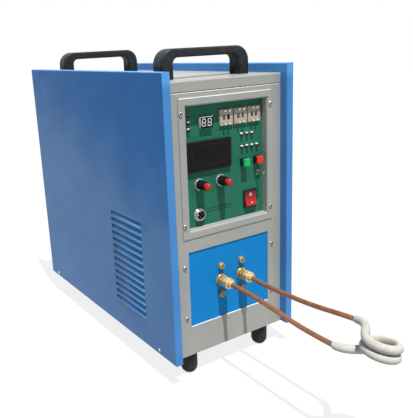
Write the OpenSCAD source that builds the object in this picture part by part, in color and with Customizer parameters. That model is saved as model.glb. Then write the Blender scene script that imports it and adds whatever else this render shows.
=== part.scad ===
// Induction heating machine: a bench cabinet with a control window, a work coil on two
// water-cooled terminals, louvred side panels, carry handles, a fan and its power parts.
// Millimetres. X runs across the front, Y runs from front to back, Z is up from the floor.
// The origin is on the floor, under the middle of the whole machine, work coil included.

/* [Cabinet] */
// Width over both side panels
case_w = 230; // [220:1:250]
// Depth of the side panels
case_d = 474; // [460:1:520]
// Height of the side panels
panel_h = 418; // [410:1:450]
// Thickness of the folded sheet
sheet = 1.5; // [1.2:0.1:2]
// Depth of the folded side panel trays
tray_t = 13; // [11.5:0.5:16]
// Width of the return fold inside each tray
return_w = 22; // [18:1:26]
// How far the core stands behind the side panels, front and rear
front_set = 14.5; // [12:0.5:18]
// How far the core's top lies below the side panels
top_set = 14; // [10:0.5:18]
// Height of the top cover's front and rear lips
lip_h = 14.4; // [12:0.2:18]
// Seam between the lip and the front plate
seam = 1.2; // [0.8:0.1:2]
// Thickness of the base plate
floor_t = 2; // [1.5:0.1:3]
// Height of the base plate's side flanges
flange_h = 26; // [22:1:32]
// Depth of the side returns of the front and rear plates
plate_return = 14; // [10:1:18]
// Distance of the top cover's cross seam from the front flange
cross_seam_y = 72; // [66:1:80]
// Radius of the folded edges
fold_r = 2; // [1.6:0.1:3]

/* [Louvres] */
// Number of louvres in each side panel
louvre_n = 14; // [10:1:14]
// Height from one louvre to the next
louvre_pitch = 11.2; // [10.6:0.1:11.6]
// Height of each louvre's mouth
louvre_h = 9.4; // [8.8:0.1:9.6]
// How far each louvre is pressed in
louvre_in = 7; // [5:0.5:8]
// Length of each louvre
louvre_w = 98; // [80:1:110]
// Height of the lowest louvre above the panel's bottom edge
louvre_z = 45; // [40:1:60]
// Distance of the louvres from the panel's front edge
louvre_y = 77.5; // [60:0.5:90]

/* [Control window] */
// Width of the window inside the bezel
window_w = 146; // [144:0.2:152]
// How far the window lies to the right of the middle
window_x = 1.9; // [0:0.1:3]
// Height of the window inside the bezel
window_h = 176; // [170:1:184]
// Height of the window's centre above the cabinet's bottom edge
window_z = 282; // [278:1:290]
// Depth of the control board behind the core's front face
window_depth = 11; // [10:0.5:12]
// Mean width of the bezel's two side rails
bezel_side = 10.5; // [9.5:0.1:12]
// Height of the bezel's top and bottom rails
bezel_end = 11; // [9:0.5:13]
// How far the bezel stands proud of the front plate
bezel_proud = 1.2; // [0.8:0.1:2]
// Thickness of the bezel's inner walls
bezel_wall = 2; // [1.6:0.1:2.4]
// Width of the bevel round the window
bezel_bevel = 1.8; // [1:0.1:2.2]
// Thickness of the control board
board_t = 1.6; // [1.2:0.1:2.4]
// How far the control board reaches past the window
board_lap = 15; // [13:0.5:16]

/* [Displays and lamps] */
// Width of the process screen
screen_w = 78; // [70:1:82]
// Height of the process screen
screen_h = 43; // [38:1:46]
// How far the process screen stands proud of the board
screen_t = 4; // [3:0.5:6]
// Width of the two-digit display
digit_w = 22; // [17:0.5:24]
// Height of the two-digit display
digit_h = 15.5; // [12:0.1:16]
// Depth of the two-digit display's case
digit_t = 4; // [3:0.5:7]
// Depth of the socket under the two-digit display
digit_socket_t = 1; // [1:0.5:4]
// Radius of an indicator lamp
lamp_r = 2.5; // [2:0.1:2.8]
// Length of an indicator lamp
lamp_len = 7; // [5:0.5:9]

/* [Time dials] */
// Width of one two-digit dial
dial_w = 23.5; // [23:0.1:25]
// Height of one dial
dial_h = 23; // [22.6:0.1:24.4]
// How far a dial stands proud of the board
dial_proud = 3; // [2.5:0.1:5]
// Thickness of a dial's face
dial_face = 1.5; // [1.2:0.1:2]
// Distance between a dial's two digits
digit_pitch = 8; // [7.8:0.1:8.4]
// Width of a digit wheel
wheel_w = 6; // [5.4:0.1:6.2]
// Radius of a digit wheel
wheel_r = 10.2; // [8:0.1:10.4]
// Radius of the pin that the digit wheels turn on
wheel_pin_r = 1.25; // [1:0.05:1.6]
// Width of the digit's window
digit_window_w = 4.6; // [4:0.1:5]
// Height of the digit's window
digit_window_h = 7.6; // [6.6:0.1:8]
// Width of a plus or minus button
step_w = 3.2; // [2.8:0.1:3.6]
// Height of a plus or minus button
step_h = 2.2; // [1.8:0.1:2.3]
// How far a pressed plus or minus button still stands out of the dial
step_left = 1.9; // [1:0.1:3]
// Travel of a plus or minus button
step_travel = 1.5; // [1:0.1:1.6]

/* [Switches] */
// Width of the start and stop caps
cap_w = 11.5; // [11:0.5:15]
// Thickness of the start and stop caps
cap_t = 4.5; // [3.5:0.5:6]
// Height of the switch bodies above the board
switch_t = 4.2; // [4:0.1:5]
// Travel of the start and stop caps
cap_travel = 2; // [1.5:0.1:2.2]
// Width of the caps' stems
stem_w = 5; // [4:0.5:6]
// Width of the power switch's frame
rocker_frame_w = 26; // [25:0.5:28]
// Height of the power switch's frame
rocker_frame_h = 28; // [27.6:0.1:30]
// Thickness of the power switch's frame
rocker_frame_t = 2; // [1.6:0.1:3]
// Width of the rocker
rocker_w = 20.6; // [19:0.2:21]
// Radius of the rocker's swing
rocker_r = 11.7; // [11:0.1:12.4]
// Tilt of the rocker each way
rocker_tilt = 8; // [6:1:10]
// Radius of the toggle's nut
toggle_nut_r = 4.6; // [4:0.1:5.4]
// Length of the toggle's lever outside its bush
toggle_len = 13; // [10:0.5:15]
// Radius of the toggle's lever at its tip
toggle_r = 1.5; // [1.2:0.1:1.8]

/* [Knobs] */
// Radius of a knob at the board
knob_r = 7.5; // [6.5:0.1:8.5]
// Radius of a knob at its front
knob_front_r = 6.5; // [6:0.1:7]
// Length of a knob without its cap
knob_len = 15.5; // [12:0.5:18]
// Radius of a knob's cap
knob_cap_r = 5; // [4.5:0.1:6.2]
// Thickness of a knob's cap
knob_cap_t = 4.5; // [3:0.5:6]
// Thickness of the chrome ring under a knob
knob_ring_t = 3; // [2:0.5:4]
// Radius of a potentiometer's shaft
shaft_r = 3; // [2.5:0.1:3.2]

/* [Pedal socket] */
// Radius of the socket's flange
socket_flange_r = 9.5; // [9:0.1:10.4]
// Radius of the socket's threaded nose
socket_nose_r = 8; // [7.5:0.1:8.6]
// Length of the socket's nose in front of the board
socket_len = 6; // [5:0.5:8]

/* [Output] */
// Width of the lower opening
out_w = 151; // [146:1:156]
// Height of the lower opening
out_h = 116.5; // [110:0.5:120]
// Height of the lower opening's centre above the cabinet's bottom edge
out_z = 104; // [100:1:106]
// Thickness of the insulating plate behind the lower opening
plate_t = 3; // [2:0.5:4]
// Distance between the two output terminals
terminal_gap = 39; // [36:1:46]
// How far the terminals' middle lies to the right of the cabinet's middle
terminal_x = 2; // [0:0.5:3]
// Height of the terminals above the cabinet's bottom edge
terminal_z = 105.5; // [102:0.5:109]
// Distance between the upper and lower terminal bolts
bolt_gap = 45.5; // [42:0.5:50]
// Radius of a terminal's flange
fitting_r = 9.4; // [9:0.1:10]
// Thickness of a terminal's flange
fitting_flange_t = 3; // [2:0.5:4]
// Width of a terminal's hexagon across its flats
fitting_hex = 16; // [14.5:0.5:16]
// Thickness of a terminal's hexagon
fitting_hex_t = 6.5; // [4:0.5:8]
// Radius of a terminal's threaded nose
nose_r = 6; // [5.5:0.1:6.4]
// Length of a terminal's threaded nose
nose_len = 7; // [6:0.5:9]
// Width of a flare nut across its flats
nut_hex = 16; // [15:0.5:17]
// Length of a flare nut's hexagon
nut_hex_len = 10.5; // [8:0.5:12]
// Length of a flare nut's round collar
nut_collar_len = 6; // [4:0.5:7]
// Radius of a terminal bolt's head
bolt_head_r = 5; // [4.5:0.1:5.6]
// Thickness of a terminal bolt's head
bolt_head_t = 4; // [3:0.5:5]
// Radius of a terminal bolt's thread
bolt_r = 3; // [2.5:0.1:3.2]

/* [Work coil] */
// Radius of the copper tube
tube_r = 3.4; // [3:0.1:3.5]
// Radius of the woven sleeve over the coil
sleeve_r = 5.5; // [5.2:0.1:5.7]
// Radius of the coil at the middle of the tube
coil_r = 18.8; // [18:0.1:22]
// Rise of the coil in one turn
coil_pitch = 11.6; // [11.4:0.1:13]
// Distance of the coil's centre in front of the side panels
coil_out = 251.4; // [240:0.2:270]
// Height of the coil's lower end above the cabinet's bottom edge
coil_z = 92.4; // [90:0.2:98]
// How far the coil's centre lies to the right of the middle
coil_x = 4; // [2:0.5:6]
// How far the straight leads reach in front of the side panels
lead_out = 201; // [190:1:212]
// Height of the lower lead's front end above the cabinet's bottom edge
lower_lead_z = 93; // [90:0.5:98]
// Height of the upper lead's front end above the cabinet's bottom edge
upper_lead_z = 114.5; // [112:0.5:118]
// Height of the hand-bent wave in the lower lead
lower_lead_wave = 0.8; // [0:0.1:2]
// Height of the hand-bent wave in the upper lead
upper_lead_wave = 0.8; // [0:0.1:2]
// How far the upper lead sags in its middle
upper_lead_sag = 4.5; // [0:0.5:6]

/* [Handles and feet] */
// Width over a handle's legs
handle_w = 157; // [146:0.2:160]
// How far the handles' middle lies to the right of the cabinet's middle
handle_x = -1; // [-2:0.5:2]
// Height of a handle
handle_h = 42; // [38:1:50]
// Depth of a handle
handle_d = 24; // [20:1:26]
// Width of a handle's leg
leg_w = 20.8; // [18:0.2:23]
// Thickness of a handle's grip
grip_t = 12.5; // [11:0.5:14]
// Distance of a handle's middle from the nearer end of the side panels
handle_y = 68; // [64:1:74]
// Height of a foot
foot_h = 37; // [34:1:42]
// Radius of a foot
foot_r = 12.9; // [12:0.1:14]
// Distance between the feet across the cabinet
foot_gap_x = 142; // [130:1:150]
// Distance of a foot's middle from the nearer end of the side panels
foot_y = 32; // [30:1:40]

/* [Fan] */
// Width of the fan's square frame
fan_w = 120; // [110:1:122]
// Depth of the fan's frame
fan_d = 38; // [34:1:40]
// Least width of the frame round the fan's air passage
fan_rim = 3; // [3:0.5:6]
// Gap between the rotor's blades and the fan's air passage
rotor_gap = 1.5; // [1:0.5:4]
// Radius of the rotor's hub
hub_r = 21; // [18:0.5:24]
// Number of the fan's blades
blade_n = 7; // [5:1:9]
// Pitch angle of the blades
blade_angle = 35; // [28:1:40]
// Height of the fan's centre above the cabinet's bottom edge
fan_z = 250; // [240:1:262]

/* [Rear fittings] */
// Radius of a water nozzle's hose tail
tail_r = 4.5; // [4:0.1:5]
// How far a water nozzle stands out of the rear plate
nozzle_out = 22; // [18:1:26]
// Distance between the two water nozzles
nozzle_gap = 166; // [160:1:170]
// Height of the water nozzles above the cabinet's bottom edge
nozzle_z = 85; // [82:1:96]
// Radius of the cable gland's bore
gland_bore_r = 6; // [5:0.1:6.5]

/* [Inside] */
// Width of the output transformer's core
core_block_w = 90; // [84:1:94]
// Depth of the output transformer's core
core_block_d = 60; // [54:1:66]
// Height of the output transformer's core
core_block_h = 84; // [78:1:90]
// Distance of the output transformer behind the insulating plate
core_block_y = 34; // [32:1:40]
// Width of the capacitor bank
bank_w = 116; // [100:1:120]
// Depth of the capacitor bank
bank_d = 78; // [70:1:84]
// Height of the capacitors
bank_h = 74; // [60:1:84]
// Width of the heatsink
sink_w = 132; // [120:1:136]
// Height of the heatsink
sink_h = 62; // [50:1:66]
// Number of the heatsink's fins
fin_n = 13; // [9:1:15]
// Outer radius of the cooling hoses
hose_r = 6.5; // [6:0.1:7]

/* [Hidden] */
$fn = 48;

// Overrun of every cut
over = 1;
// Clearance round pieces that stand still in their holes
slack = 0.3;
// Radial running clearance of a pin in its bore
pin_slack = 0.05;

// Main planes and levels
coil_reach = coil_out + coil_r + sleeve_r;
face_y = (coil_reach - case_d + front_set - nozzle_out) / 2;
front_y = face_y + front_set;
rear_y = face_y + case_d - front_set;
base_z = foot_h;
core_w = case_w - 2 * tray_t;
core_top = base_z + panel_h - top_set;
plate_top = core_top - lip_h - seam;
board_y = front_y + window_depth;
win_z = base_z + window_z;
open_z = base_z + out_z;
plate_y = front_y + sheet;
term_z = base_z + terminal_z;

// Places on the control board, as shares of the window's width and height from its centre
dial_x_shares = [0.021, 0.201, 0.377];
dial_z_share = 0.372;
digit_shares = [-0.227, 0.354];
screen_shares = [-0.199, 0.085];
lamp_row_a_shares = [[0.222, 0.21], [0.29, 0.21], [0.357, 0.21]];
lamp_row_b_shares = [[0.224, 0.104], [0.29, 0.104], [0.355, 0.104], [0.421, 0.104]];
lamp_column_shares = [[-0.427, 0.42], [-0.427, 0.363], [-0.427, 0.309]];
start_shares = [0.24, -0.027];
stop_shares = [0.415, -0.024];
toggle_shares = [0.422, -0.137];
rocker_shares = [0.322, -0.357];
left_knob_shares = [-0.323, -0.144];
right_knob_shares = [-0.063, -0.142];
socket_shares = [-0.335, -0.398];

// Screws, the same on the whole case
screw_r = 2;
screw_head_r = 3.2;
screw_head_t = 2.2;
screw_hole_r = screw_r + slack;
bezel_screw_len = 6;
bezel_screw_x = window_w / 2 + 0.68 * bezel_side;
bezel_screw_drop = 9;
bezel_screw_z = window_h / 2 - bezel_screw_drop;
low_screw_gap = 7.5;
low_screw_x = out_w / 2 + low_screw_gap;
low_screw_z_shares = [0.318, -0.365];
low_screw_len = 7;
rivet_x_share = -0.265;
rivet_z = out_h / 2 + 2.1 * screw_head_r;
rivet_share = 0.5;
side_screw_y_shares = [0.095, 0.922];
side_screw_z = return_w / 3;
side_screw_len = tray_t + 4 * sheet;

// The board and its posts
board_half_w = window_w / 2 + board_lap;
board_half_h = window_h / 2 + board_lap;
post_r = 3.5;
post_inset = 5.5;
post_screw_len = window_depth / 2;

// Screen and lamps
screen_corner = 1.5;
screen_rim = 2.5;
screen_recess = 0.4;
lamp_flange_r = lamp_r + 0.4;
lamp_flange_t = 1;

// Push-wheel dial, in depths from the board's front plane, outwards positive
dial_wall = 0.75;
wheel_gap = 0.4;
cavity_w = wheel_w + 2 * slack;
cavity_h = dial_h - 2 * dial_wall;
face_back = dial_proud - dial_face;
wheel_depth = face_back - wheel_r - wheel_gap;
cavity_back = wheel_depth - wheel_r - wheel_gap;
dial_back = cavity_back - dial_face;
step_flange_w = cavity_w - 4 * slack;
step_flange_h = step_h + slack / 2;
step_flange_t = 1.2;
step_z = cavity_h / 2 - step_flange_h / 2 - slack;

// Start and stop switches
cap_back = switch_t + cap_travel + slack;
cap_bevel = 0.8;
cap_corner = 1.5;
stem_into = 1.5;
stem_hole_floor = 0.3;

// Power switch
rocker_set = 1.2;
rocker_pin_r = 1;
rocker_half_t = 1.7;
rocker_back = 4;
rocker_end = rocker_r * 0.96;
tub_wall = 1.2;
tub_t = 22;
tub_w = rocker_w + 2 * slack + 2 * tub_wall;
tub_h = 2 * (rocker_r + slack + tub_wall);
pivot_depth = rocker_frame_t - rocker_set;

// Toggle switch
bush_r = 3;
bush_len = 4;
ball_bore_r = 2;
ball_r = ball_bore_r - 2 * pin_slack;
lever_neck_r = 1;
toggle_nut_t = 2;
toggle_body_w = 8;
toggle_body_h = 13;
toggle_body_t = 10;
ball_depth = bush_len - 1.25 * ball_bore_r;

// Potentiometers
pot_r = 8.2;
pot_t = 9;
pot_bush_r = 4.5;
knob_ring_r = 8.4;
knob_flutes = 20;
flute_r = 0.6;
pointer_w = 1.2;
pointer_t = 0.4;
shaft_floor = -board_t - 0.7 * pot_t;

// Pedal socket
socket_flange_t = 2;
socket_wall = 1.4;
socket_recess = 1.6;
socket_pin_r = 0.9;
socket_body_t = 12;

// Terminals
nut_gap = 2;
nut_collar_r = 5.5;
tube_fit = tube_r + slack / 2;
shank_in = 8;
washer_r = bolt_head_r * 1.1;
washer_t = 1;
bolt_in = 12;
nose_start = fitting_flange_t + fitting_hex_t;
nut_start = nose_start + nut_gap;
nut_end = nut_start + nut_hex_len + nut_collar_len;
plate_lap = 13;

// Transformer, in its own sizes
bar_w = 18;
bar_lap = 6.25;
bar_half_h = bolt_gap / 2 + bar_lap;
yoke_t = 8;
bar_gap = 1;
core_y = plate_y + plate_t + core_block_y;
primary_out = 7;
port_y = core_y + core_block_d + primary_out + hose_r + slack;
link_y = port_y - yoke_t / 2;
stub_r = 4.1;
stub_len = 27;
primary_t = 6.4;
bracket_t = 3;

// Cooling water
hose_bore_r = stub_r + slack / 3;
hose_bend_r = 20;
hose_x = nozzle_gap / 2;
water_z = base_z + nozzle_z;
nozzle_hex = 14;
nozzle_hex_t = 4;
nozzle_neck_r = 5;
inner_tail = 16;
water_r = 2.4;

// Capacitor bank, heatsink and inverter board
bank_rows = 2;
bank_columns = 3;
bank_base_t = 3;
bank_bus_t = 2;
bank_gap = 12;
sink_base_t = 8;
fin_t = 2.5;
sink_rear_gap = 12;
sink_y = link_y + yoke_t + bank_gap + bank_d + bank_gap / 2;
sink_d = rear_y - sheet - fan_d - sink_rear_gap - sink_y;
module_w = 34;
module_d = 94;
module_t = 17;
circuit_t = 2;
circuit_post_r = 3;
coil_can_r = 14;
coil_can_t = 24;

// Cable gland
gland_neck_r = gland_bore_r + 2;
gland_z = 40;
gland_hex = 22;
gland_hex_t = 5;
gland_dome_t = 12;

// Fan, in its own sizes, measured from the rear plate inwards
fan_bore_r = fan_w / 2 - fan_rim;
rotor_r = fan_bore_r - rotor_gap;
fan_flange_t = 5;
fan_screw = fan_w / 2 * 0.875;
fan_corner = 5;
strut_w = 5;
strut_t = 5;
rotor_pin_r = 3;
rotor_t = 23;
blade_t = 2;
rotor_back = 8;
guard_wire_r = 1.1;
guard_ring_shares = [0.36, 0.58, 0.8, 1.02];
ear_r = 5.5;

// Handles and feet
leg_x = handle_w / 2 - leg_w / 2;
handle_outer_r = 22;
handle_inner_r = 9;
handle_edge_r = 3.5;
handle_screw_len = 10;
stud_r = 3;
stud_len = 8;
foot_nut_r = 5.5;
foot_nut_t = 4;
collar_r = foot_r * 1.07;
collar_t = 3;
foot_flat_r = 5;
foot_x = foot_gap_x / 2;

// The path of the copper tube, from the left terminal round the coil to the right one
tube_sides = 10;
sleeve_sides = 14;
sleeve_bore = tube_r + slack;
lead_steps = 11;
bend_steps = 8;
ring_angle = 15;
coil_start = 70;
coil_turn = 645;
lean_shares = [0.17, -0.04, 1];
bend_shares = [0.85, 0.85, 0.75, 1.35, 0.32];
lead_x = terminal_gap / 2;
tube_start_y = plate_y - nose_start - nose_len / 2;
lead_start_y = plate_y - nut_end;
lead_end_y = face_y - lead_out;
coil_axis = [coil_x, face_y - coil_out, base_z + coil_z];
e1 = unit(cross([0, 1, 0], lean_shares));
e2 = unit(cross(lean_shares, e1));

function unit(v) = v / norm(v);
function bezier(a, b, c, d, t) = pow(1 - t, 3) * a + 3 * t * pow(1 - t, 2) * b
    + 3 * t * t * (1 - t) * c + pow(t, 3) * d;
function eased(t) = t * t * (3 - 2 * t);
function helix(turned) = coil_axis + lean_shares * coil_pitch * turned / 360
    + coil_r * (cos(coil_start - turned) * e1 + sin(coil_start - turned) * e2);
function helix_way(turned) = unit(helix(turned + 1) - helix(turned - 1));
function lead_at(side) = terminal_x + side * lead_x;
function lead_point(side, end_z, wave, sag, t) = [lead_at(side),
    lead_start_y + (lead_end_y - lead_start_y) * t,
    term_z + (end_z - term_z) * eased(t) + (wave * sin(360 * t) - sag) * sin(180 * t)];
function lead(side, end_z, wave, sag) = concat([[lead_at(side), tube_start_y, term_z]],
    [for (i = [0:lead_steps - 1]) lead_point(side, end_z, wave, sag, i / lead_steps)]);
function reversed(p) = [for (i = [len(p) - 1:-1:0]) p[i]];

sleeve_a = [lead_at(-1), lead_end_y, base_z + lower_lead_z];
sleeve_b = [lead_at(1), lead_end_y, base_z + upper_lead_z];
helix_a = helix(0);
helix_b = helix(coil_turn);
bend_a = [for (i = [0:bend_steps - 1]) bezier(sleeve_a,
    sleeve_a - [0, bend_shares[0] * coil_r, 0],
    helix_a - bend_shares[1] * coil_r * helix_way(0), helix_a, i / bend_steps)];
bend_b = [for (i = [1:bend_steps]) bezier(helix_b,
    helix_b + bend_shares[2] * coil_r * helix_way(coil_turn),
    sleeve_b - [0, bend_shares[3] * coil_r, -bend_shares[4] * coil_r], sleeve_b, i / bend_steps)];
turns = [for (a = [0:ring_angle:coil_turn]) helix(a)];
sleeve_path = concat(bend_a, turns, bend_b);
copper_path = concat(lead(-1, base_z + lower_lead_z, lower_lead_wave, 0), sleeve_path,
    reversed(lead(1, base_z + upper_lead_z, upper_lead_wave, upper_lead_sag)));

// The least distance between stretches of the coil that lie more than a third of a turn apart
apart = floor(120 / ring_angle);
coil_gap = min([for (i = [0:len(sleeve_path) - 1], j = [0:len(sleeve_path) - 1])
    if (j - i > apart) norm(sleeve_path[i] - sleeve_path[j])]) - 2 * sleeve_r;
echo(least_gap_between_turns = coil_gap);

function way(p, i) = unit(p[min(i + 1, len(p) - 1)] - p[max(i - 1, 0)]);
function ring_points(c, t, r, sides) = let (a = unit(cross(t, [0, 0, 1])), b = cross(t, a))
    [for (k = [0:sides - 1]) c + r * (cos(360 * k / sides) * a + sin(360 * k / sides) * b)];
function skin(rings, sides, first) = [for (i = [0:rings - 2], k = [0:sides - 1])
    let (n = (k + 1) % sides, p = first + i * sides, q = p + sides)
    each [[p + k, q + k, q + n], [p + k, q + n, p + n]]];
function flipped(faces) = [for (f = faces) [f[2], f[1], f[0]]];

module tube(path, r, sides) {
    rings = [for (i = [0:len(path) - 1]) each ring_points(path[i], way(path, i), r, sides)];
    last = (len(path) - 1) * sides;
    ends = [for (k = [1:sides - 2]) each [[0, k, k + 1], [last, last + k + 1, last + k]]];
    polyhedron(rings, concat(skin(len(path), sides, 0), ends));
}

module hollow_tube(path, r, bore, sides) {
    outer = [for (i = [0:len(path) - 1]) each ring_points(path[i], way(path, i), r, sides)];
    inner = [for (i = [0:len(path) - 1]) each ring_points(path[i], way(path, i), bore, sides)];
    m = len(outer);
    last = m - sides;
    ends = [for (k = [0:sides - 1]) let (n = (k + 1) % sides) each [
        [k, n, m + n], [k, m + n, m + k],
        [last + n, last + k, m + last + k], [last + n, m + last + k, m + last + n]]];
    polyhedron(concat(outer, inner),
        concat(skin(len(path), sides, 0), flipped(skin(len(path), sides, m)), ends));
}

// Shapes that several pieces share
module rounded_rect(w, h, r) {
    square([w - 2 * r, h], center = true);
    square([w, h - 2 * r], center = true);
    for (x = [-1, 1], y = [-1, 1]) translate([x * (w / 2 - r), y * (h / 2 - r)]) circle(r = r);
}

// An outline in X and Z, thick along Y from its front face
module upright(t) {
    translate([0, t, 0]) rotate([90, 0, 0]) linear_extrude(t) children();
}

// An outline in Y and Z, drawn out evenly along X
module along_x(w) {
    translate([-w / 2, 0, 0]) rotate([90, 0, 90]) linear_extrude(w) children();
}

// Turns a piece that is drawn along Z so that it points to the front, or to the rear
module to_front() rotate([90, 0, 0]) children();
module to_rear() rotate([90, 0, 0]) mirror([0, 0, 1]) children();

module hexagon(across, t) {
    cylinder(r = across / sqrt(3), h = t, $fn = 6);
}

module pan_screw(len) {
    rotate_extrude() intersection() {
        translate([0, -over]) square([screw_head_r, screw_head_t + over]);
        translate([0, screw_head_t - 1.6 * screw_head_r]) circle(r = 1.6 * screw_head_r);
        square([screw_head_r, screw_head_t]);
    }
    translate([0, 0, -len]) cylinder(r = screw_r, h = len);
}

// Places on the control board's front face, with Z pointing out of the window
module on_board(shares) {
    translate([window_x + shares[0] * window_w, board_y, win_z + shares[1] * window_h]) to_front()
        children();
}

// Folded side panel, right-hand one
module fold_box(inset) {
    w = tray_t - 2 * inset;
    d = case_d - 2 * inset;
    h = panel_h - 2 * inset;
    r = max(fold_r - inset, slack);
    mid_x = case_w / 2 - tray_t / 2;
    intersection() {
        translate([mid_x, face_y + case_d / 2, base_z + inset]) linear_extrude(h)
            rounded_rect(w, d, r);
        translate([mid_x, face_y + inset, base_z + panel_h / 2]) upright(d)
            rounded_rect(w, h, r);
    }
}

module louvre_places() {
    for (i = [0:louvre_n - 1])
        translate([case_w / 2, face_y + louvre_y, base_z + louvre_z + i * louvre_pitch])
            children();
}

module louvre_back() {
    slope = sqrt(louvre_in * louvre_in + louvre_h * louvre_h);
    foot = sheet / 2;
    reach = louvre_in + sheet * slope / louvre_h;
    drop = (foot - sheet * slope / louvre_h) * louvre_h / louvre_in;
    upright(louvre_w) polygon([[-foot, drop], [-foot, louvre_h], [-reach, louvre_h]]);
}

module louvre_mouth() {
    translate([0, sheet, 0]) upright(louvre_w - 2 * sheet)
        polygon([[over, 0], [0, 0], [-louvre_in, louvre_h], [over, louvre_h]]);
}

module side_panel() {
    difference() {
        union() {
            difference() {
                fold_box(0);
                fold_box(sheet);
                translate([core_w / 2 - over, face_y + return_w, base_z + return_w])
                    cube([2 * sheet + over, case_d - 2 * return_w, panel_h - 2 * return_w]);
            }
            louvre_places() louvre_back();
        }
        louvre_places() louvre_mouth();
        side_screw_places() translate([0, 0, -tray_t - over])
            cylinder(r = screw_hole_r, h = tray_t + 2 * over);
    }
}

module side_screw_places() {
    for (y = side_screw_y_shares)
        translate([case_w / 2, face_y + y * case_d, base_z + side_screw_z]) rotate([0, 90, 0])
            children();
}

module right_side_panel() color("#306098") side_panel();
module left_side_panel() color("#306098") mirror([1, 0, 0]) side_panel();

module foot_places() {
    for (s = [-1, 1], y = [foot_y, case_d - foot_y])
        translate([s * foot_x, face_y + y, base_z]) children();
}

module base_tray() {
    color("#a0a5a0") difference() {
        union() {
            floor_w = core_w - 2 * sheet - 2 * slack;
            clear_y = plate_return + slack;
            translate([-floor_w / 2, front_y + sheet, base_z])
                cube([floor_w, rear_y - front_y - 2 * sheet, floor_t]);
            translate([0, front_y + clear_y, base_z]) upright(rear_y - front_y - 2 * clear_y)
                difference() {
                    translate([-core_w / 2, 0]) square([core_w, flange_h]);
                    translate([-core_w / 2 + sheet, floor_t])
                        square([core_w - 2 * sheet, flange_h]);
                }
        }
        foot_places() translate([0, 0, -over])
            cylinder(r = stud_r + slack, h = floor_t + 2 * over);
        for (s = [0, 1]) mirror([s, 0, 0]) side_screw_places()
            translate([0, 0, -side_screw_len]) cylinder(r = screw_hole_r, h = side_screw_len);
    }
}

module end_plate() {
    translate([-core_w / 2, 0, base_z]) cube([core_w, sheet, plate_top - base_z]);
    for (s = [-1, 1]) translate([s * (core_w - sheet) / 2 - sheet / 2, 0, base_z])
        cube([sheet, plate_return, plate_top - base_z]);
    translate([-core_w / 2, 0, plate_top - sheet]) cube([core_w, plate_return, sheet]);
}

module post_places() {
    for (x = [-1, 1], z = [-1, 1])
        translate([window_x + x * (board_half_w - post_inset), 0,
            win_z + z * (board_half_h - post_inset)]) children();
}

module bezel_screw_places() {
    for (x = [-1, 1], z = [-1, 1])
        translate([x * bezel_screw_x, front_y, win_z + z * bezel_screw_z]) to_front()
            children();
}

module low_screw_places() {
    for (x = [-1, 1], z = low_screw_z_shares)
        translate([x * low_screw_x, front_y, open_z + z * out_h]) to_front() children();
}

module rivet_place() {
    translate([rivet_x_share * out_w, front_y, open_z + rivet_z]) to_front() children();
}

module sheet_holes(depth) {
    translate([0, 0, -depth]) cylinder(r = screw_hole_r, h = depth + over);
}

module front_frame() {
    opening_w = window_w + 2 * bezel_wall + 2 * slack;
    opening_h = window_h + 2 * bezel_wall + 2 * slack;
    color("#a4a9a3") difference() {
        union() {
            translate([0, front_y, 0]) end_plate();
            post_places() translate([0, front_y + sheet, 0]) to_rear()
                cylinder(r = post_r, h = window_depth - sheet);
        }
        translate([window_x, front_y - over, win_z]) upright(sheet + 2 * over)
            square([opening_w, opening_h], center = true);
        translate([0, front_y - over, open_z]) upright(sheet + 2 * over)
            square([out_w, out_h], center = true);
        bezel_screw_places() sheet_holes(sheet + over);
        low_screw_places() sheet_holes(sheet + over);
        rivet_place() scale(rivet_share) sheet_holes((sheet + over) / rivet_share);
        post_places() translate([0, board_y, 0]) to_front()
            translate([0, 0, -over]) cylinder(r = screw_hole_r, h = post_screw_len + over);
    }
}

module control_bezel() {
    frame_w = window_w + 2 * bezel_side;
    frame_h = window_h + 2 * bezel_end;
    wall_w = window_w + 2 * bezel_wall;
    wall_h = window_h + 2 * bezel_wall;
    color("#b9beb8") translate([0, front_y - bezel_proud, win_z]) difference() {
        union() {
            upright(bezel_proud) rounded_rect(frame_w, frame_h, fold_r / 2);
            translate([window_x, 0, 0]) upright(bezel_proud + window_depth)
                square([wall_w, wall_h], center = true);
        }
        translate([window_x, -over, 0]) upright(bezel_proud + window_depth + 2 * over)
            square([window_w, window_h], center = true);
        translate([window_x, 0, 0]) bevel_cut();
        translate([0, bezel_proud - front_y, -win_z]) bezel_screw_places()
            translate([0, 0, bezel_proud]) sheet_holes(bezel_proud + over);
    }
}

// The bevel round the window, one sloping cut per side
module bevel_cut() {
    for (s = [0, 1]) {
        mirror([s, 0, 0]) translate([window_w / 2, 0, -window_h / 2 - bezel_bevel])
            linear_extrude(window_h + 2 * bezel_bevel)
            polygon([[-over, -over], [bezel_bevel, -over], [bezel_bevel, 0], [0, bezel_bevel],
                [-over, bezel_bevel]]);
        mirror([0, 0, s]) translate([0, 0, window_h / 2]) along_x(window_w + 2 * bezel_bevel)
            polygon([[-over, -over], [-over, bezel_bevel], [0, bezel_bevel], [bezel_bevel, 0],
                [bezel_bevel, -over]]);
    }
}

module terminal_places() {
    for (s = [-1, 1]) translate([lead_at(s), plate_y, term_z]) to_front() children();
}

module bolt_places() {
    for (s = [-1, 1]) terminal_places() translate([0, s * bolt_gap / 2, 0]) children();
}

module output_plate() {
    color("#1e82c8") difference() {
        translate([0, plate_y, open_z]) upright(plate_t)
            square([out_w + 2 * plate_lap, out_h + 2 * plate_lap], center = true);
        terminal_places() translate([0, 0, -plate_t - over])
            cylinder(r = nose_r + slack, h = plate_t + 2 * over);
        bolt_places() translate([0, 0, -plate_t - over])
            cylinder(r = bolt_r + slack, h = plate_t + 2 * over);
        low_screw_places() sheet_holes(sheet + plate_t + over);
        rivet_place() scale(rivet_share) sheet_holes((sheet + plate_t + over) / rivet_share);
    }
}

module handle_places() {
    for (y = [handle_y, case_d - handle_y]) translate([handle_x, face_y + y, core_top])
        children();
}

module leg_places() {
    for (s = [-1, 1]) handle_places() translate([s * leg_x, 0, 0]) children();
}

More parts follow.
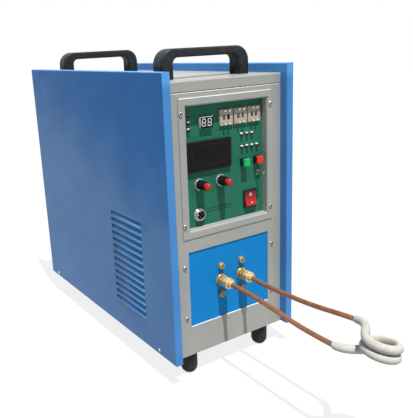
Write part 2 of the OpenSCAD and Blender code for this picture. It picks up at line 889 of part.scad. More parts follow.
module top_cover() {
    mid_y = (front_y + rear_y) / 2;
    depth = rear_y - front_y;
    color("#cdd4d7") difference() {
        union() {
            difference() {
                translate([0, mid_y, core_top - lip_h]) along_x(core_w) intersection() {
                    rounded_rect(depth, 2 * lip_h, fold_r);
                    translate([-depth / 2, 0]) square([depth, lip_h]);
                }
                translate([-core_w / 2 - over, front_y + sheet, core_top - lip_h - over])
                    cube([core_w + 2 * over, depth - 2 * sheet, lip_h + over - sheet]);
            }
            for (s = [-1, 1])
                translate([s * (core_w - sheet) / 2 - sheet / 2, front_y + fold_r,
                    core_top - lip_h])
                    cube([sheet, depth - 2 * fold_r, lip_h - sheet / 2]);
        }
        translate([-core_w / 2 - over, face_y + cross_seam_y, core_top - sheet / 3])
            cube([core_w + 2 * over, sheet / 2, sheet / 3 + over]);
        leg_places() translate([0, 0, -sheet - over])
            cylinder(r = screw_hole_r, h = sheet + 2 * over);
    }
}

// Points across a handle at one angle of its corner, or on its straight runs
function handle_inner(a) = [handle_w / 2 - leg_w - handle_inner_r + handle_inner_r * cos(a),
    handle_h - grip_t - handle_inner_r + handle_inner_r * sin(a)];
function handle_outer(a) = [handle_w / 2 - handle_outer_r + handle_outer_r * cos(a),
    handle_h - handle_outer_r + handle_outer_r * sin(a)];
corner_angles = [0, 12, 24, 36, 48, 60, 72, 82, 90];
half_spans = concat([[[handle_w / 2 - leg_w, 0], [handle_w / 2, 0]]],
    [for (a = corner_angles) [handle_inner(a), handle_outer(a)]]);
handle_spans = concat(half_spans, [for (i = [len(half_spans) - 1:-1:0]) let (s = half_spans[i])
    [[-s[0][0], s[0][1]], [-s[1][0], s[1][1]]]]);
edge_angles = [0, 22.5, 45, 67.5, 90];

// The rounded section of a handle between an inner and an outer point, as a closed ring
function handle_ring(inner, outer) = let (long = norm(outer - inner), u = (outer - inner) / long,
    r = handle_edge_r, mid = (inner + outer) / 2)
    [for (q = [0:3], a = edge_angles) let (turn = q * 90 + a,
        sx = (q == 0 || q == 3) ? 1 : -1, sy = q < 2 ? 1 : -1,
        along = sx * (long / 2 - r) + r * cos(turn),
        y = sy * (handle_d / 2 - r) + r * sin(turn))
        [mid[0] + along * u[0], y, mid[1] + along * u[1]]];

module handle() {
    sides = 4 * len(edge_angles);
    rings = [for (s = handle_spans) each handle_ring(s[0], s[1])];
    last = len(rings) - sides;
    ends = [for (k = [1:sides - 2]) each [[0, k, k + 1], [last, last + k + 1, last + k]]];
    polyhedron(rings, flipped(concat(skin(len(handle_spans), sides, 0), ends)));
}

module carry_handles() {
    color("#2c3033") difference() {
        handle_places() handle();
        leg_places() translate([0, 0, -over])
            cylinder(r = screw_hole_r, h = handle_screw_len + over);
    }
}

module rubber_feet() {
    centre_z = sqrt(foot_r * foot_r - foot_flat_r * foot_flat_r);
    color("#282828") foot_places() translate([0, 0, -foot_h]) {
        rotate_extrude() {
            intersection() {
                translate([0, centre_z]) circle(r = foot_r);
                square([foot_r, centre_z]);
            }
            translate([0, centre_z]) square([foot_r, foot_h - centre_z]);
            translate([0, foot_h - collar_t]) square([collar_r, collar_t]);
            square([stud_r, foot_h + stud_len]);
        }
    }
}

module rear_panel() {
    color("#a4a9a3") difference() {
        translate([0, rear_y, 0]) mirror([0, 1, 0]) end_plate();
        fan_place() translate([0, 0, -sheet - over])
            cylinder(r = fan_bore_r, h = sheet + 2 * over);
        fan_screw_places() sheet_holes(sheet + over);
        nozzle_places() translate([0, 0, -sheet - over])
            cylinder(r = nozzle_neck_r + slack, h = sheet + 2 * over);
        gland_place() translate([0, 0, -sheet - over])
            cylinder(r = gland_neck_r + slack, h = sheet + 2 * over);
    }
}

module fan_place() {
    translate([0, rear_y, base_z + fan_z]) to_rear() children();
}

module fan_screw_places() {
    for (x = [-1, 1], z = [-1, 1]) fan_place() translate([x * fan_screw, z * fan_screw, 0])
        children();
}

module nozzle_places() {
    for (s = [-1, 1]) translate([s * hose_x, rear_y, water_z]) to_rear() children();
}

module gland_place() {
    translate([hose_x / 2, rear_y, base_z + gland_z]) to_rear() children();
}

module cable_gland() {
    color("#303336") gland_place() difference() {
        union() {
            hexagon(gland_hex, gland_hex_t);
            cylinder(r1 = gland_hex / 2, r2 = gland_neck_r, h = gland_dome_t);
            translate([0, 0, -2 * gland_hex_t]) cylinder(r = gland_neck_r, h = 3 * gland_hex_t);
            translate([0, 0, -sheet - gland_hex_t]) hexagon(gland_hex, gland_hex_t);
        }
        translate([0, 0, -2 * gland_hex_t - over])
            cylinder(r = gland_bore_r, h = 2 * gland_hex_t + gland_dome_t + 2 * over);
    }
}

module case_screws() {
    color("#b8bcc0") {
        for (s = [0, 1]) mirror([s, 0, 0]) side_screw_places() pan_screw(side_screw_len);
        bezel_screw_places() translate([0, 0, bezel_proud]) pan_screw(bezel_screw_len);
        low_screw_places() pan_screw(low_screw_len);
        rivet_place() scale(rivet_share) pan_screw((sheet + plate_t) / rivet_share);
        fan_screw_places() translate([0, 0, 2 * guard_wire_r])
            pan_screw(2 * guard_wire_r + sheet + 2 * fan_flange_t);
        post_places() translate([0, board_y + board_t, 0]) to_rear()
            pan_screw(board_t + 0.9 * post_screw_len);
        leg_places() translate([0, 0, -sheet]) rotate([180, 0, 0])
            pan_screw(sheet + 0.9 * handle_screw_len);
        foot_places() translate([0, 0, floor_t]) difference() {
            cylinder(r = foot_nut_r, h = foot_nut_t, $fn = 6);
            translate([0, 0, -over])
                cylinder(r = stud_r + pin_slack, h = foot_nut_t + 2 * over);
        }
    }
}

module control_board() {
    color("#28735a") difference() {
        translate([window_x, board_y, win_z]) upright(board_t)
            square([2 * board_half_w, 2 * board_half_h], center = true);
        for (x = dial_x_shares) on_board([x, dial_z_share])
            translate([-dial_w / 2 - slack, -dial_h / 2 - slack, -board_t - over])
            cube([dial_w + 2 * slack, dial_h + 2 * slack, board_t + 2 * over]);
        on_board(rocker_shares)
            translate([-tub_w / 2 - slack, -tub_h / 2 - slack, -board_t - over])
            cube([tub_w + 2 * slack, tub_h + 2 * slack, board_t + 2 * over]);
        on_board(left_knob_shares) board_hole(pot_bush_r);
        on_board(right_knob_shares) board_hole(pot_bush_r);
        on_board(toggle_shares) board_hole(bush_r);
        on_board(socket_shares) board_hole(socket_nose_r);
        post_places() translate([0, board_y, 0]) to_front() board_hole(screw_r);
    }
}

module board_hole(r) {
    translate([0, 0, -board_t - over]) cylinder(r = r + slack, h = board_t + 2 * over);
}

module display_screen() {
    color("#212026") on_board(screen_shares) difference() {
        linear_extrude(screen_t) rounded_rect(screen_w, screen_h, screen_corner);
        translate([0, 0, screen_t - screen_recess]) linear_extrude(screen_recess + over)
            square([screen_w - 2 * screen_rim, screen_h - 2 * screen_rim], center = true);
    }
}

module digit_display() {
    color("#d8d8d2") on_board(digit_shares) {
        linear_extrude(digit_socket_t + digit_t / 2)
            square([digit_w - screen_corner, digit_h - screen_corner], center = true);
        translate([0, 0, digit_socket_t]) linear_extrude(digit_t)
            square([digit_w, digit_h], center = true);
    }
}

module indicator_lamps() {
    color("#d8c8c0") for (at = concat(lamp_row_a_shares, lamp_row_b_shares, lamp_column_shares))
        on_board(at) {
            cylinder(r = lamp_flange_r, h = lamp_flange_t);
            cylinder(r = lamp_r, h = lamp_len - lamp_r);
            translate([0, 0, lamp_len - lamp_r]) sphere(r = lamp_r);
        }
}

module pedal_socket() {
    color("#b4b8ba") on_board(socket_shares) difference() {
        union() {
            cylinder(r = socket_flange_r, h = socket_flange_t);
            translate([0, 0, -socket_body_t]) cylinder(r = socket_nose_r,
                h = socket_body_t + socket_len);
            translate([0, 0, -board_t - socket_flange_t])
                cylinder(r = socket_flange_r, h = socket_flange_t);
        }
        translate([0, 0, socket_len - socket_recess])
            cylinder(r = socket_nose_r - socket_wall, h = socket_recess + over);
        for (a = [0:90:270]) rotate([0, 0, a]) translate([socket_nose_r / 2.4, 0, 0])
            cylinder(r = socket_pin_r, h = socket_len);
    }
}

module digit_places() {
    for (s = [-1, 1]) translate([s * digit_pitch / 2, 0, 0]) children();
}

module dial_housing() {
    difference() {
        translate([-dial_w / 2, -dial_h / 2, dial_back])
            cube([dial_w, dial_h, dial_proud - dial_back]);
        digit_places() {
            translate([-cavity_w / 2, -cavity_h / 2, cavity_back])
                cube([cavity_w, cavity_h, face_back - cavity_back]);
            translate([-digit_window_w / 2, -digit_window_h / 2, face_back - over])
                cube([digit_window_w, digit_window_h, dial_face + 2 * over]);
            for (s = [-1, 1])
                translate([-step_w / 2 - slack, s * step_z - step_h / 2 - slack, face_back - over])
                    cube([step_w + 2 * slack, step_h + 2 * slack, dial_face + 2 * over]);
        }
    }
    translate([0, 0, wheel_depth]) rotate([0, 90, 0])
        cylinder(r = wheel_pin_r, h = dial_w - 2 * dial_wall, center = true);
}

module dial_housings() {
    color("#c8beaf") for (x = dial_x_shares) on_board([x, dial_z_share]) dial_housing();
}

// One digit wheel, plus button or minus button of a dial; side is -1 left, 1 right
module in_dial(dial, side) {
    on_board([dial_x_shares[dial], dial_z_share]) translate([side * digit_pitch / 2, 0, 0])
        children();
}

module digit_wheel() {
    color("#f0f0ec") translate([0, 0, wheel_depth]) rotate([0, 90, 0]) difference() {
        cylinder(r = wheel_r, h = wheel_w, center = true);
        cylinder(r = wheel_pin_r + pin_slack, h = wheel_w + 2 * over, center = true);
    }
}

module step_button(side) {
    flange_z = face_back - slack - step_flange_t;
    color("#e8e4da") translate([0, side * step_z, 0]) {
        translate([-step_flange_w / 2, -step_flange_h / 2, flange_z])
            cube([step_flange_w, step_flange_h, step_flange_t]);
        translate([-step_w / 2, -step_h / 2, flange_z])
            cube([step_w, step_h, dial_proud + step_travel + step_left - flange_z]);
    }
}

module rocker_frame() {
    color("#25272a") on_board(rocker_shares) {
        difference() {
            union() {
                linear_extrude(rocker_frame_t)
                    rounded_rect(rocker_frame_w, rocker_frame_h, rocker_frame_t / 2);
                translate([-tub_w / 2, -tub_h / 2, -tub_t]) cube([tub_w, tub_h, tub_t + over]);
            }
            translate([-rocker_w / 2 - slack, -rocker_r - slack,
                pivot_depth - rocker_back - 3 * rocker_pin_r])
                cube([rocker_w + 2 * slack, 2 * (rocker_r + slack), tub_t]);
        }
        translate([0, 0, pivot_depth]) rotate([0, 90, 0])
            cylinder(r = rocker_pin_r, h = tub_w - tub_wall, center = true);
    }
}

module rocker_switch() {
    rise = rocker_half_t + rocker_end * tan(rocker_tilt);
    color("#c82828") on_board(rocker_shares) translate([0, 0, pivot_depth])
        rotate([-rocker_tilt, 0, 0]) difference() {
            along_x(rocker_w) intersection() {
                circle(r = rocker_r);
                polygon([[-rocker_end, -rocker_back], [rocker_end, -rocker_back],
                    [rocker_end, rise], [0, rocker_half_t], [-rocker_end, rise]]);
            }
            rotate([0, 90, 0]) cylinder(r = rocker_pin_r + pin_slack,
                h = rocker_w + 2 * over, center = true);
        }
}

module switch_body() {
    difference() {
        translate([-cap_w / 2, -cap_w / 2, 0]) cube([cap_w, cap_w, switch_t]);
        translate([-stem_w / 2 - slack, -stem_w / 2 - slack, stem_hole_floor])
            cube([stem_w + 2 * slack, stem_w + 2 * slack, switch_t]);
    }
}

module button_bodies() {
    color("#2a2c2e") {
        on_board(start_shares) switch_body();
        on_board(stop_shares) switch_body();
    }
}

module bevelled_outline(w, t, c) {
    polygon([[-w / 2, 0], [w / 2, 0], [w / 2, t - c], [w / 2 - c, t], [c - w / 2, t],
        [-w / 2, t - c]]);
}

module push_cap() {
    translate([0, 0, cap_back]) intersection() {
        linear_extrude(cap_t) rounded_rect(cap_w, cap_w, cap_corner);
        along_x(cap_w + over) bevelled_outline(cap_w, cap_t, cap_bevel);
        rotate([0, 0, 90]) along_x(cap_w + over) bevelled_outline(cap_w, cap_t, cap_bevel);
    }
    translate([-stem_w / 2, -stem_w / 2, switch_t - stem_into])
        cube([stem_w, stem_w, cap_back - switch_t + stem_into + cap_t / 2]);
}

module start_button() color("#19be6e") on_board(start_shares) push_cap();
module stop_button() color("#d73c2d") on_board(stop_shares) push_cap();

module potentiometer() {
    difference() {
        union() {
            cylinder(r = knob_ring_r, h = knob_ring_t);
            translate([0, 0, -board_t - over]) cylinder(r = pot_bush_r, h = board_t + 2 * over);
            translate([0, 0, -board_t - pot_t]) cylinder(r = pot_r, h = pot_t);
        }
        translate([0, 0, shaft_floor]) cylinder(r = shaft_r + pin_slack,
            h = knob_ring_t - shaft_floor + over);
    }
}

module potentiometers() {
    color("#aeb2b6") {
        on_board(left_knob_shares) potentiometer();
        on_board(right_knob_shares) potentiometer();
    }
}

module knob() {
    low = knob_ring_t + slack;
    top = low + knob_len + knob_cap_t;
    difference() {
        union() {
            translate([0, 0, shaft_floor + slack])
                cylinder(r = shaft_r, h = low - shaft_floor + over);
            difference() {
                translate([0, 0, low]) cylinder(r1 = knob_r, r2 = knob_front_r, h = knob_len);
                for (i = [0:knob_flutes - 1]) rotate([0, 0, i * 360 / knob_flutes])
                    translate([knob_r + flute_r / 4, 0, low + knob_len / 4])
                    cylinder(r = flute_r, h = knob_len);
            }
            translate([0, 0, low + knob_len]) cylinder(r = knob_cap_r, h = knob_cap_t);
        }
        translate([-pointer_w / 2, knob_cap_r / 4, top - pointer_t])
            cube([pointer_w, knob_cap_r, pointer_t + over]);
    }
}

module left_knob() color("#1c1c1e") on_board(left_knob_shares) knob();
module right_knob() color("#1c1c1e") on_board(right_knob_shares) knob();

module toggle_body() {
    color("#b0b3b6") on_board(toggle_shares) difference() {
        union() {
            translate([-toggle_body_w / 2, -toggle_body_h / 2, -board_t - toggle_body_t])
                cube([toggle_body_w, toggle_body_h, toggle_body_t]);
            translate([0, 0, -board_t - over]) cylinder(r = bush_r, h = board_t + over + bush_len);
            cylinder(r = toggle_nut_r, h = toggle_nut_t, $fn = 6);
        }
        translate([0, 0, -board_t - bush_len])
            cylinder(r = ball_bore_r, h = board_t + 2 * bush_len + over);
    }
}

module toggle_lever() {
    tip = bush_len + toggle_len;
    color("#c4c6c8") on_board(toggle_shares) {
        translate([0, 0, ball_depth]) {
            sphere(r = ball_r);
            translate([0, 0, -2 * ball_r]) cylinder(r = lever_neck_r, h = 2 * ball_r);
            cylinder(r1 = lever_neck_r, r2 = toggle_r, h = tip - toggle_r - ball_depth);
        }
        translate([0, 0, tip - toggle_r]) sphere(r = toggle_r);
    }
}

module fan_flange() {
    linear_extrude(fan_flange_t) rounded_rect(fan_w, fan_w, fan_corner);
}

module fan_frame() {
    color("#303234") fan_place() translate([0, 0, -sheet]) difference() {
        union() {
            difference() {
                union() {
                    translate([0, 0, -fan_flange_t]) fan_flange();
                    translate([0, 0, -fan_d]) fan_flange();
                    translate([0, 0, -fan_d]) cylinder(r = fan_w / 2 - slack, h = fan_d);
                }
                translate([0, 0, -fan_d - over]) cylinder(r = fan_bore_r, h = fan_d + 2 * over);
            }
            translate([0, 0, -fan_d]) {
                cylinder(r = hub_r, h = strut_t);
                for (a = [45:90:315]) rotate([0, 0, a]) translate([0, -strut_w / 2, 0])
                    cube([fan_bore_r + slack, strut_w, strut_t]);
                cylinder(r = rotor_pin_r, h = fan_d - rotor_back - blade_t - slack);
            }
        }
        for (x = [-1, 1], y = [-1, 1]) translate([x * fan_screw, y * fan_screw, -fan_d - over])
            cylinder(r = screw_hole_r, h = fan_d + 2 * over);
    }
}

module fan_rotor() {
    chord = 0.98 * rotor_t / sin(blade_angle);
    color("#3a3c3f") fan_place() translate([0, 0, -sheet - rotor_back - rotor_t]) difference() {
        union() {
            cylinder(r = hub_r, h = rotor_t);
            intersection() {
                cylinder(r = rotor_r, h = rotor_t);
                for (i = [0:blade_n - 1]) rotate([0, 0, i * 360 / blade_n])
                    translate([0, 0, rotor_t / 2]) rotate([blade_angle, 0, 0])
                    translate([0, -chord / 2, -blade_t / 2]) cube([rotor_r + over, chord, blade_t]);
            }
        }
        translate([0, 0, -over]) cylinder(r = rotor_pin_r + pin_slack, h = rotor_t + over - blade_t);
    }
}

module fan_guard() {
    inner = guard_ring_shares[0] * fan_bore_r;
    reach = fan_screw * sqrt(2);
    color("#9a9da0") fan_place() linear_extrude(2 * guard_wire_r) difference() {
        union() {
            for (r = guard_ring_shares) difference() {
                circle(r = r * fan_bore_r + guard_wire_r);
                circle(r = r * fan_bore_r - guard_wire_r);
            }
            for (a = [45:90:315]) rotate(a) {
                translate([inner, -guard_wire_r]) square([reach - inner, 2 * guard_wire_r]);
                translate([reach, 0]) circle(r = ear_r);
            }
        }
        for (a = [45:90:315]) rotate(a) translate([reach, 0]) circle(r = screw_hole_r);
    }
}

// Output transformer: a ferrite core round a single turn of heavy copper bar
module output_transformer() {
    bar_x = lead_x - bar_w / 2;
    bar_end = link_y + yoke_t;
    window_out = core_block_w / 2 - bar_w / 2;
    color("#5a5550") {
        translate([terminal_x, core_y, term_z]) upright(core_block_d) difference() {
            square([core_block_w, core_block_h], center = true);
            for (s = [0, 1]) mirror([s, 0]) translate([bar_x - bar_gap, -bar_half_h - bar_gap])
                square([window_out - bar_x + bar_gap, 2 * (bar_half_h + bar_gap)]);
        }
        core_foot = term_z - core_block_h / 2 - base_z - floor_t;
        translate([terminal_x, core_y, base_z + floor_t]) upright(core_block_d) difference() {
            translate([-core_block_w / 2, 0]) square([core_block_w, core_foot]);
            translate([-core_block_w / 2 + bracket_t, -over])
                square([core_block_w - 2 * bracket_t, core_foot - bracket_t + over]);
        }
    }
    color("#b4733c") difference() {
        union() {
            translate([terminal_x, 0, 0]) for (s = [0, 1]) mirror([s, 0, 0])
                translate([bar_x, plate_y + plate_t, term_z - bar_half_h])
                    cube([bar_w, bar_end - plate_y - plate_t, 2 * bar_half_h]);
            translate([terminal_x - bar_x - over, link_y, term_z - bar_half_h])
                cube([2 * (bar_x + over), yoke_t, 2 * bar_half_h]);
            for (s = [-1, 1]) translate([lead_at(s), port_y, water_z]) rotate([0, s * 90, 0])
                cylinder(r = stub_r, h = bar_w / 2 + stub_len);
        }
        terminal_places() translate([0, 0, -plate_t - shank_in - over])
            cylinder(r = nose_r + slack, h = plate_t + shank_in + over);
        bolt_places() translate([0, 0, -plate_t - bolt_in - over])
            cylinder(r = bolt_r + slack, h = plate_t + bolt_in + over);
    }
    color("#8c2d1e") translate([terminal_x, 0, 0]) for (s = [0, 1]) mirror([s, 0, 0])
        translate([window_out + bar_w / 4 + slack, core_y + core_block_d / 2,
            term_z - bar_half_h]) linear_extrude(2 * bar_half_h) difference() {
            rounded_rect(bar_w / 2 + 2 * primary_t, core_block_d + 2 * primary_out, primary_t);
            square([bar_w / 2 + 4 * slack, core_block_d + 2 * slack], center = true);
        }
}

module capacitor_bank() {
    step_x = bank_w / bank_columns;
    step_y = bank_d / bank_rows;
    can_r = min(step_x, step_y) / 2 - 2 * slack;
    color("#3a5f8c") translate([-bank_w / 2, link_y + yoke_t + bank_gap, base_z + floor_t]) {
        cube([bank_w, bank_d, bank_base_t]);
        for (i = [0:bank_columns - 1], j = [0:bank_rows - 1])
            translate([(i + 0.5) * step_x, (j + 0.5) * step_y, bank_base_t])
                cylinder(r = can_r, h = bank_h - bank_base_t - bank_bus_t);
        for (j = [0:bank_rows - 1])
            translate([0, (j + 0.5) * step_y - can_r / 2, bank_h - bank_bus_t])
                cube([bank_w, can_r, bank_bus_t]);
    }
}

module heatsink() {
    step = (sink_w - fin_t) / (fin_n - 1);
    color("#b0b4b6") translate([-sink_w / 2, sink_y, base_z + floor_t]) {
        translate([0, 0, sink_h - sink_base_t]) cube([sink_w, sink_d, sink_base_t]);
        for (i = [0:fin_n - 1]) translate([i * step, 0, 0]) cube([fin_t, sink_d, sink_h - over]);
    }
}

// Power modules on the heatsink, under the inverter's circuit board
module inverter_board() {
    top = base_z + floor_t + sink_h;
    mid_y = sink_y + sink_d / 2;
    color("#2f6b4a") translate([0, mid_y, top]) {
        for (s = [-1, 0, 1]) translate([s * sink_w / 3 - module_w / 2, -module_d / 2, 0])
            cube([module_w, module_d, module_t]);
        translate([-sink_w / 2, -sink_d / 2, module_t]) cube([sink_w, sink_d, circuit_t]);
        for (x = [-1, 1], y = [-1, 1])
            translate([x * (sink_w / 2 - 2 * circuit_post_r),
                y * (sink_d / 2 - 2 * circuit_post_r), 0])
                cylinder(r = circuit_post_r, h = module_t);
        for (s = [-1, 1]) translate([s * sink_w / 4, sink_d / 4, module_t + circuit_t])
            cylinder(r = coil_can_r, h = coil_can_t);
        translate([-sink_w / 3, -sink_d / 3, module_t + circuit_t])
            cube([2 * sink_w / 3, sink_d / 4, coil_can_t / 2]);
    }
}

module output_terminals() {
    color("#be9b55") terminal_places() difference() {
        union() {
            cylinder(r = fitting_r, h = fitting_flange_t);
            translate([0, 0, fitting_flange_t]) hexagon(fitting_hex, fitting_hex_t);
            translate([0, 0, -plate_t - shank_in])
                cylinder(r = nose_r, h = plate_t + shank_in + nose_start + nose_len);
        }
        translate([0, 0, -plate_t]) cylinder(r = tube_fit, h = nose_start + nose_len + 2 * plate_t);
    }
}

module flare_nuts() {
    color("#be9b55") terminal_places() translate([0, 0, nut_start]) difference() {
        union() {
            hexagon(nut_hex, nut_hex_len);
            cylinder(r = nut_collar_r, h = nut_hex_len + nut_collar_len);
        }
        translate([0, 0, -over]) cylinder(r = tube_fit, h = nut_hex_len + nut_collar_len + 2 * over);
        translate([0, 0, -over]) cylinder(r = nose_r + 2 * pin_slack, h = nose_len);
    }
}

module terminal_bolts() {
    color("#be9b55") bolt_places() {
        cylinder(r = washer_r, h = washer_t);
        translate([0, 0, washer_t]) cylinder(r = bolt_head_r, h = bolt_head_t);
        translate([0, 0, -plate_t - bolt_in]) cylinder(r = bolt_r, h = plate_t + bolt_in + washer_t);
    }
}

module copper_coil() color("#965f41") tube(copper_path, tube_r, tube_sides);
module coil_sleeve() {
    color("#e4e4de") hollow_tube(sleeve_path, sleeve_r, sleeve_bore, sleeve_sides);
}

module water_nozzles() {
    barb_t = (nozzle_out - nozzle_hex_t) / 4;
    color("#be9b55") nozzle_places() difference() {
        union() {
            hexagon(nozzle_hex, nozzle_hex_t);
            cylinder(r = tail_r - slack, h = nozzle_out);
            for (i = [1:3]) translate([0, 0, nozzle_out - i * barb_t])
                cylinder(r1 = tail_r + slack, r2 = tail_r - slack, h = barb_t);
            translate([0, 0, -sheet - nozzle_hex_t]) cylinder(r = nozzle_neck_r,
                h = sheet + nozzle_hex_t + over);
            translate([0, 0, -sheet - nozzle_hex_t]) hexagon(nozzle_hex, nozzle_hex_t);
            translate([0, 0, -sheet - nozzle_hex_t - inner_tail])
                cylinder(r = stub_r, h = inner_tail + over);
        }
        translate([0, 0, -sheet - nozzle_hex_t - inner_tail - over])
            cylinder(r = water_r, h = sheet + nozzle_hex_t + inner_tail + nozzle_out + 2 * over);
    }
}

// One hose of the given radius from the transformer's port to the rear nozzle
module hose_core(r, port_shift) {
    start_x = lead_x + port_shift + bar_w / 2 + over;
    bend_x = hose_x - hose_bend_r;
    end_y = rear_y - sheet - nozzle_hex_t - slack;
    translate([start_x, port_y, water_z]) rotate([0, 90, 0])
        cylinder(r = r, h = bend_x - start_x);
    translate([bend_x, port_y + hose_bend_r, water_z]) rotate([0, 0, -90])
        rotate_extrude(angle = 90) translate([hose_bend_r, 0]) circle(r = r);
    translate([hose_x, port_y + hose_bend_r, water_z]) to_rear()
        cylinder(r = r, h = end_y - port_y - hose_bend_r);
}

module cooling_hoses() {
    color("#2b2d30") for (s = [0, 1]) mirror([s, 0, 0]) difference() {
        hose_core(hose_r, (1 - 2 * s) * terminal_x);
        hose_core(hose_bore_r, (1 - 2 * s) * terminal_x);
    }
}

module wheel_1a() in_dial(0, -1) digit_wheel();
module wheel_1b() in_dial(0, 1) digit_wheel();
module wheel_2a() in_dial(1, -1) digit_wheel();
module wheel_2b() in_dial(1, 1) digit_wheel();
module wheel_3a() in_dial(2, -1) digit_wheel();
module wheel_3b() in_dial(2, 1) digit_wheel();
module plus_1a() in_dial(0, -1) step_button(1);
module plus_1b() in_dial(0, 1) step_button(1);
module plus_2a() in_dial(1, -1) step_button(1);
module plus_2b() in_dial(1, 1) step_button(1);
module plus_3a() in_dial(2, -1) step_button(1);
module plus_3b() in_dial(2, 1) step_button(1);
module minus_1a() in_dial(0, -1) step_button(-1);
module minus_1b() in_dial(0, 1) step_button(-1);
module minus_2a() in_dial(1, -1) step_button(-1);
module minus_2b() in_dial(1, 1) step_button(-1);
module minus_3a() in_dial(2, -1) step_button(-1);
module minus_3b() in_dial(2, 1) step_button(-1);

base_tray();
front_frame();
control_bezel();
output_plate();
top_cover();
rear_panel();
left_side_panel();
right_side_panel();
carry_handles();
rubber_feet();
case_screws();
control_board();
display_screen();
digit_display();
indicator_lamps();
pedal_socket();
dial_housings();
rocker_frame();
button_bodies();
potentiometers();
toggle_body();
fan_frame();
fan_guard();
output_transformer();
capacitor_bank();
heatsink();
inverter_board();
output_terminals();
flare_nuts();
terminal_bolts();
copper_coil();
coil_sleeve();
water_nozzles();
cable_gland();
cooling_hoses();
rocker_switch();
start_button();
stop_button();
left_knob();
right_knob();
toggle_lever();
fan_rotor();
wheel_1a();
wheel_1b();
wheel_2a();
wheel_2b();
wheel_3a();
wheel_3b();
plus_1a();
plus_1b();
plus_2a();
plus_2b();
plus_3a();
plus_3b();
minus_1a();
minus_1b();
minus_2a();
minus_2b();
minus_3a();
minus_3b();
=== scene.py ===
import math

import bmesh
import bpy
from mathutils import Matrix, Vector, noise


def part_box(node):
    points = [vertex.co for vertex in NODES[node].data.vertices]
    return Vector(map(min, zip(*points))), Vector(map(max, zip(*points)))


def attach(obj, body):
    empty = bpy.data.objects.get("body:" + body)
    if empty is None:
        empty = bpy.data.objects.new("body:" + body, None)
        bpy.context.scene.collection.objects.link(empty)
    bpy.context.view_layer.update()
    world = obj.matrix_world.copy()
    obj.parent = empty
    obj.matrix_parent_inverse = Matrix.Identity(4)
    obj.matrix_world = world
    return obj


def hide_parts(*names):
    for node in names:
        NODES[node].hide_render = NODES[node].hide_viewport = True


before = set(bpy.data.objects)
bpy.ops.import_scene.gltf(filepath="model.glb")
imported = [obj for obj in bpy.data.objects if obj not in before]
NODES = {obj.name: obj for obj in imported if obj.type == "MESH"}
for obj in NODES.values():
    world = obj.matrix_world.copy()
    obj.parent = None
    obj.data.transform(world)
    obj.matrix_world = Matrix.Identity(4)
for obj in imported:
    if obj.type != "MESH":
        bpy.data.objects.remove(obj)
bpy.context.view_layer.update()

bl_info = {
    "name": "Induction heating machine",
    "version": (1, 0, 0),
    "blender": (4, 5, 0),
    "location": "View3D > Sidebar > Heater",
    "description": "Dresses the packed induction heating machine and sets up its studio",
    "category": "Object",
}

MM = 0.001
TAU = 2 * math.pi
BODY = "cabinet"
KNOBS = ("left_knob", "right_knob")
DIALS = [f"{dial}{side}" for dial in "123" for side in "ab"]

# Measures of part.scad that no node's box gives: the outer face of the side panels, their
# louvres, and the width and lower edge of the output opening
CASE_X = 115 * MM
LOUVRE_N, LOUVRE_PITCH, LOUVRE_LONG = 14, 11.2 * MM, 94.8 * MM
LOUVRE_Y, LOUVRE_Z = 79.1 * MM, 45 * MM
OPENING_W, OPENING_Z = 151 * MM, 82.75 * MM

# How CAD meshes are softened: gap that is welded, turn of a flat and turn of a sharp edge
WELD_GAP, FLAT_ANGLE, SHARP_ANGLE = 0.002 * MM, math.radians(0.2), math.radians(32)
# Height of a digit as a share of the font's size
DIGIT_SHARE = 0.69

# Shared looks: colour of worn edges, height of the paint's texture, outputs of a surface group
BARE_METAL, WORN_PLASTIC = (0.62, 0.63, 0.64, 1), (0.3, 0.3, 0.31, 1)
PAINT_DEPTH = 0.05 * MM
SURFACE = (("Color", "C"), ("Roughness", "F"), ("Height", "F"))
GROUPS = {}

# Places read from the frame
BOARD_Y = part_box("control_board")[0].y
PLATE_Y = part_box("output_plate")[0].y
GUARD_LOW, GUARD_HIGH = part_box("fan_guard")


# Colours are written as they look on screen, and turned to the scene's linear values
def linear(shade):
    return tuple(c / 12.92 if c < 0.04045 else ((c + 0.055) / 1.055) ** 2.4 for c in shade)


def tint(red, green, blue):
    return (*linear((red / 255, green / 255, blue / 255)), 1.0)


def colour_property(name, description, default):
    return bpy.props.FloatVectorProperty(name=name, description=description, subtype="COLOR",
                                         size=4, min=0, max=1, default=default)


def length_property(name, description, default):
    return bpy.props.FloatProperty(name=name, description=description, unit="LENGTH",
                                   min=0, precision=5, default=default)


class HeaterCabinet(bpy.types.PropertyGroup):
    side: colour_property("Side paint", "Powder coat of the side panels", tint(64, 124, 186))
    front: colour_property("Front paint", "Powder coat of the front, top and rear",
                           tint(155, 157, 153))
    plate: colour_property("Output plate", "Azure insulating plate", tint(14, 127, 198))
    rubber: colour_property("Rubber", "Feet and hoses", tint(34, 34, 35))
    grip: colour_property("Handle", "Moulded carry handles", tint(30, 33, 37))
    steel: colour_property("Screw steel", "Nickel-plated screws", tint(184, 184, 188))
    fold: length_property("Fold radius", "Radius that the sheet metal edges show", 0.9 * MM)
    edge: length_property("Small edge", "Radius on the edges of small parts", 0.25 * MM)


